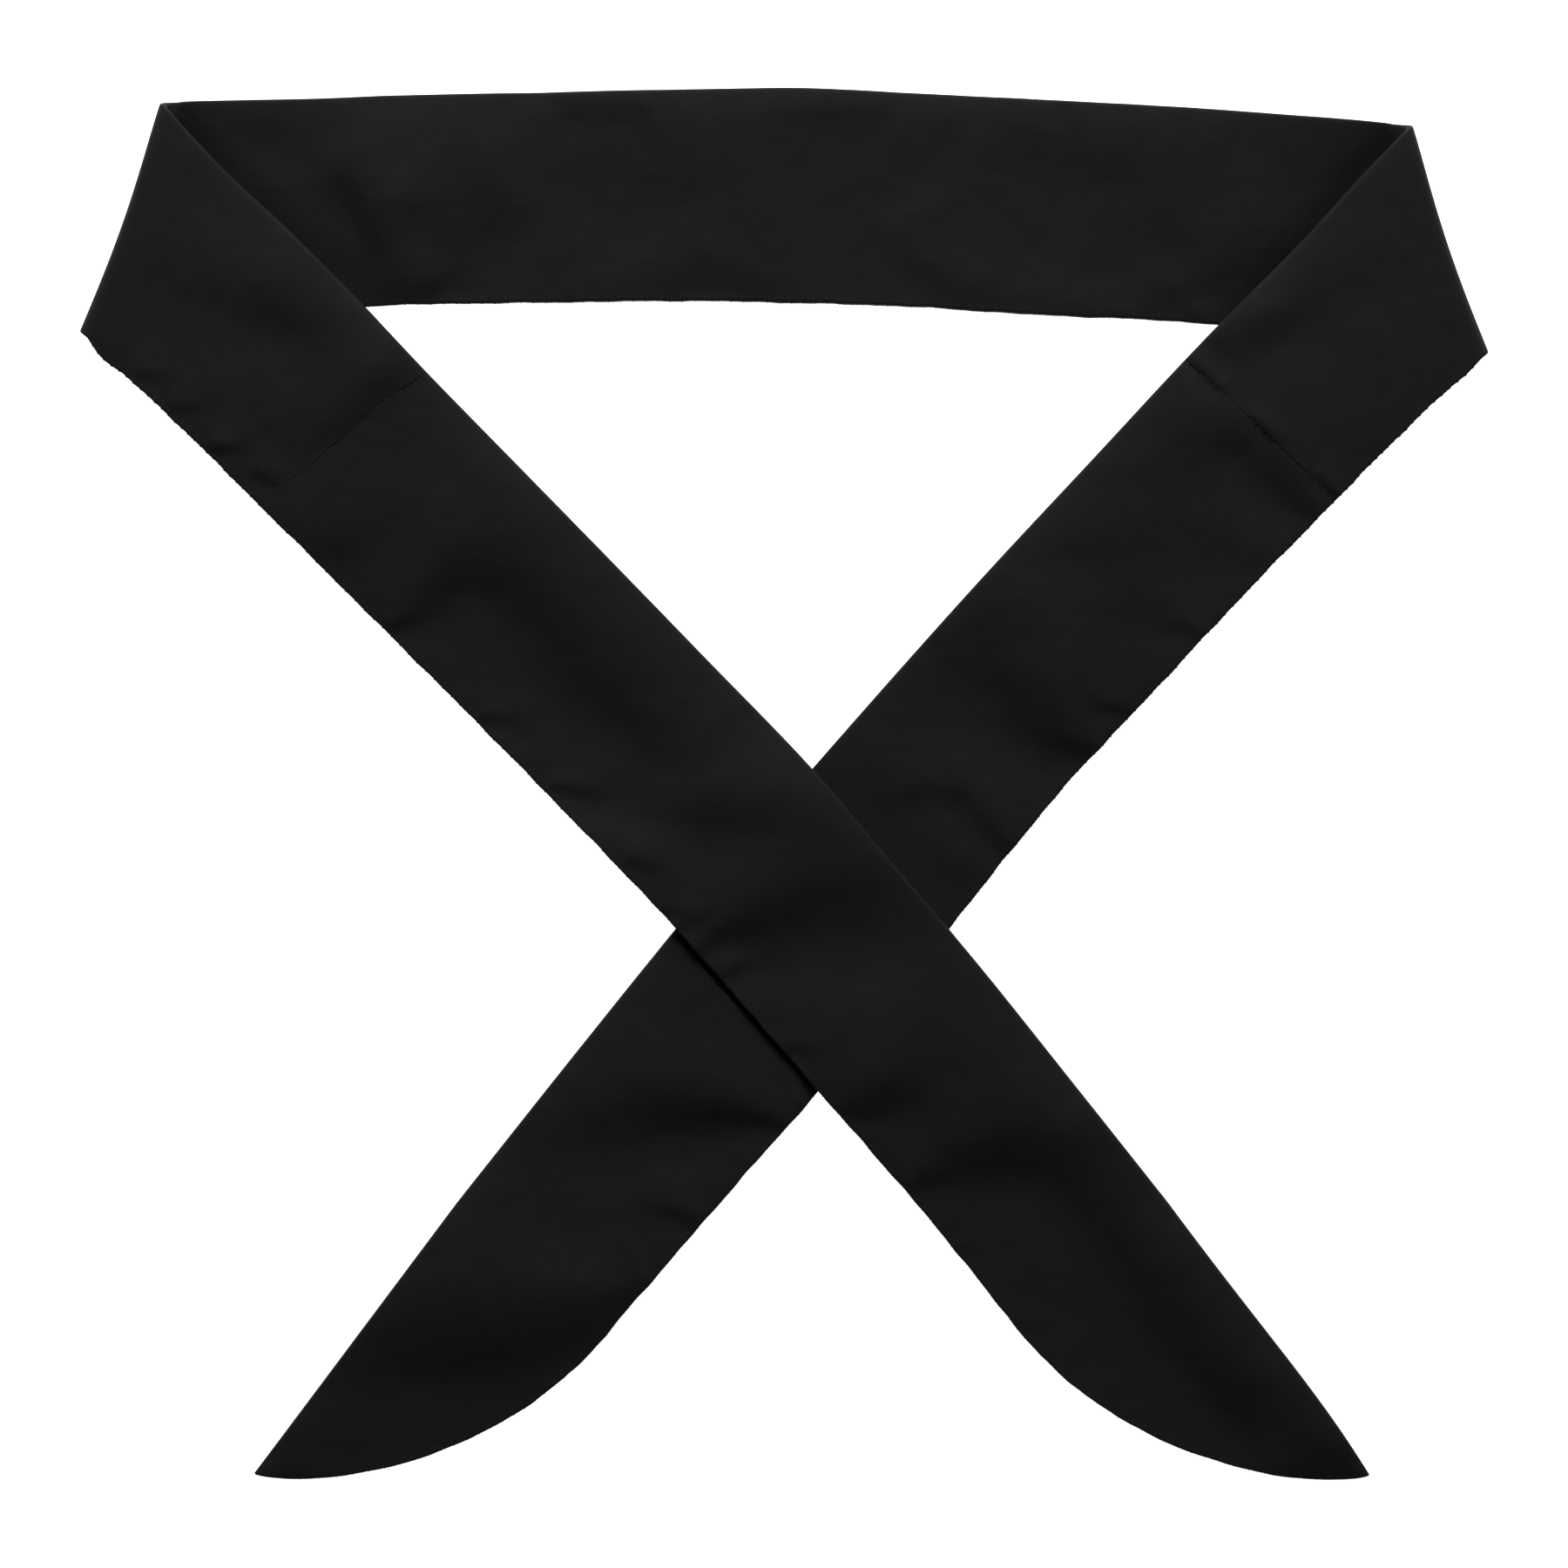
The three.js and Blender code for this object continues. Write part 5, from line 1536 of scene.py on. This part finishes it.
class WrapStage(bpy.types.PropertyGroup):
    """The floor, the light and the camera"""

    floor_colour: FloatVectorProperty(
        name="Floor colour", description="Colour of the plain floor", subtype="COLOR", size=3,
        min=0, max=1, default=(0.92, 0.92, 0.92),
    )
    key_power: FloatProperty(
        name="Key light", description="Power of the large soft light above the neck span", unit="POWER",
        min=0, max=500, default=60.3,
    )
    floor_glow: FloatProperty(
        name="Floor glow", description="Even light that the floor gives off, as a light table does",
        min=0, max=2, default=1.0,
    )
    sky_strength: FloatProperty(
        name="Fill", description="Strength of the even light from all round", min=0, max=5, default=0.24,
    )
    lens: FloatProperty(
        name="Lens", description="Focal length of the camera", unit="CAMERA", min=20, max=300, default=85.0,
    )


class NECKWRAP_OT_add_pocket(bpy.types.Operator):
    """Adds the padded middle of the band with its two mitred corners"""

    bl_idname = "neckwrap.add_pocket"
    bl_label = "Add neck pocket"

    def execute(self, context):
        add_pocket(context.scene.neckwrap_cloth)
        return {"FINISHED"}


class NECKWRAP_OT_add_tails(bpy.types.Operator):
    """Adds the two flat ties, the left one lying over the right one"""

    bl_idname = "neckwrap.add_tails"
    bl_label = "Add tails"

    def execute(self, context):
        settings = context.scene.neckwrap_cloth
        right = [(True, RIGHT_CREASES, CREASE_LIFT)]
        left = [(True, LEFT_CREASES, CREASE_LIFT), (True, PADDING_END, 1.0)]
        add_tail(
            "right_tail", RIGHT_ROWS, over_neck_at_right, right, RIGHT_SEAM_BOW, 0.0, settings,
            left_tail_above, pressed_by_left_tail,
        )
        add_tail(
            "left_tail", LEFT_ROWS, over_right_tail, left, LEFT_SEAM_BOW, TIP_SWELL, settings,
            nothing_above, on_the_surface,
        )
        return {"FINISHED"}


class NECKWRAP_OT_add_stitches(bpy.types.Operator):
    """Adds the threads over the seam edge and across the cross seams"""

    bl_idname = "neckwrap.add_stitches"
    bl_label = "Add stitches"

    def execute(self, context):
        settings = context.scene.neckwrap_thread
        names = ("neck_pocket", "left_tail", "right_tail")
        pocket, left, right = (bpy.data.objects[name + "_cloth"] for name in names)
        middle = ring_points(pocket)
        add_edge_stitches(pocket, "pocket_edge_stitches", settings)
        for tail, side, beside in ((right, "right", middle[::-1]), (left, "left", middle)):
            edge = add_edge_stitches(tail, side + "_edge_stitches", settings)
            crossing = cross_stitches(beside, ring_points(tail), settings.cross_pitch)
            add_threads(side + "_cross_stitches", *crossing, settings)
        return {"FINISHED"}


class NECKWRAP_OT_set_stage(bpy.types.Operator):
    """Sets the pale floor, the soft light and the camera straight above"""

    bl_idname = "neckwrap.set_stage"
    bl_label = "Set stage"

    def execute(self, context):
        settings = context.scene.neckwrap_stage
        add_floor(settings)
        add_lights(settings)
        add_camera(settings)
        return {"FINISHED"}


def add_floor(settings):
    bpy.ops.object.select_all(action="DESELECT")
    bpy.ops.mesh.primitive_circle_add(
        vertices=FLOOR_SIDES, radius=FLOOR_RADIUS, fill_type="NGON", location=(0, 0, 0),
    )
    floor = bpy.context.active_object
    floor.name = "floor"
    bpy.ops.object.mode_set(mode="EDIT")
    bpy.ops.mesh.extrude_region_move(TRANSFORM_OT_translate={"value": (0, 0, -FLOOR_THICKNESS)})
    bpy.ops.mesh.select_all(action="SELECT")
    bpy.ops.mesh.normals_make_consistent(inside=False)
    bpy.ops.object.mode_set(mode="OBJECT")
    material = bpy.data.materials.new("pale_floor")
    material.use_nodes = True
    shader = material.node_tree.nodes["Principled BSDF"]
    shader.inputs["Base Color"].default_value = (*settings.floor_colour, 1)
    shader.inputs["Roughness"].default_value = 0.9
    shader.inputs["Specular IOR Level"].default_value = 0.1
    shader.inputs["Emission Color"].default_value = (1, 1, 1, 1)
    shader.inputs["Emission Strength"].default_value = settings.floor_glow
    floor.data.materials.append(material)
    floor.select_set(False)


def add_lights(settings):
    world = bpy.data.worlds.new("studio")
    world.use_nodes = True
    world.node_tree.nodes["Background"].inputs["Color"].default_value = (1, 1, 1, 1)
    world.node_tree.nodes["Background"].inputs["Strength"].default_value = settings.sky_strength
    bpy.context.scene.world = world
    bpy.ops.object.light_add(type="AREA", location=(0, KEY_DISTANCE, KEY_HEIGHT))
    key = bpy.context.active_object
    key.name = "key_light"
    key.data.shape = "RECTANGLE"
    key.data.size, key.data.size_y = KEY_SIZE
    key.data.energy = settings.key_power
    key.rotation_euler = (-math.atan2(KEY_DISTANCE, KEY_HEIGHT), 0, 0)
    key.select_set(False)


def add_camera(settings):
    height = PICTURE_WIDTH * settings.lens / 1000 / SENSOR_WIDTH
    bpy.ops.object.camera_add(location=(0, 0, height), rotation=(0, 0, 0))
    camera = bpy.context.active_object
    camera.name = "camera"
    camera.data.lens = settings.lens
    camera.data.sensor_width = SENSOR_WIDTH * 1000
    camera.data.clip_start, camera.data.clip_end = CAMERA_CLIP
    camera.select_set(False)
    bpy.context.scene.camera = camera
    bpy.context.scene.view_settings.view_transform = "Standard"


class NECKWRAP_PT_panel(bpy.types.Panel):
    """Sizes, cloth and stage of the neck wrap"""

    bl_idname = "NECKWRAP_PT_panel"
    bl_label = "Neck wrap"
    bl_space_type = "VIEW_3D"
    bl_region_type = "UI"
    bl_category = "Neck wrap"

    def draw(self, context):
        scene = context.scene
        for settings in (scene.neckwrap_cloth, scene.neckwrap_thread, scene.neckwrap_stage):
            for name in settings.__annotations__:
                self.layout.prop(settings, name)
        for operator in OPERATORS:
            self.layout.operator(operator.bl_idname)


OPERATORS = (NECKWRAP_OT_add_pocket, NECKWRAP_OT_add_tails, NECKWRAP_OT_add_stitches, NECKWRAP_OT_set_stage)
CLASSES = (WrapCloth, WrapThread, WrapStage, *OPERATORS, NECKWRAP_PT_panel)


def register():
    for each in CLASSES:
        bpy.utils.register_class(each)
    bpy.types.Scene.neckwrap_cloth = PointerProperty(type=WrapCloth)
    bpy.types.Scene.neckwrap_thread = PointerProperty(type=WrapThread)
    bpy.types.Scene.neckwrap_stage = PointerProperty(type=WrapStage)


def unregister():
    del bpy.types.Scene.neckwrap_stage
    del bpy.types.Scene.neckwrap_thread
    del bpy.types.Scene.neckwrap_cloth
    for each in reversed(CLASSES):
        bpy.utils.unregister_class(each)


def main():
    register()
    bpy.ops.neckwrap.add_pocket()
    bpy.ops.neckwrap.add_tails()
    bpy.ops.neckwrap.add_stitches()
    bpy.ops.neckwrap.set_stage()


if __name__ == "__main__":
    main()
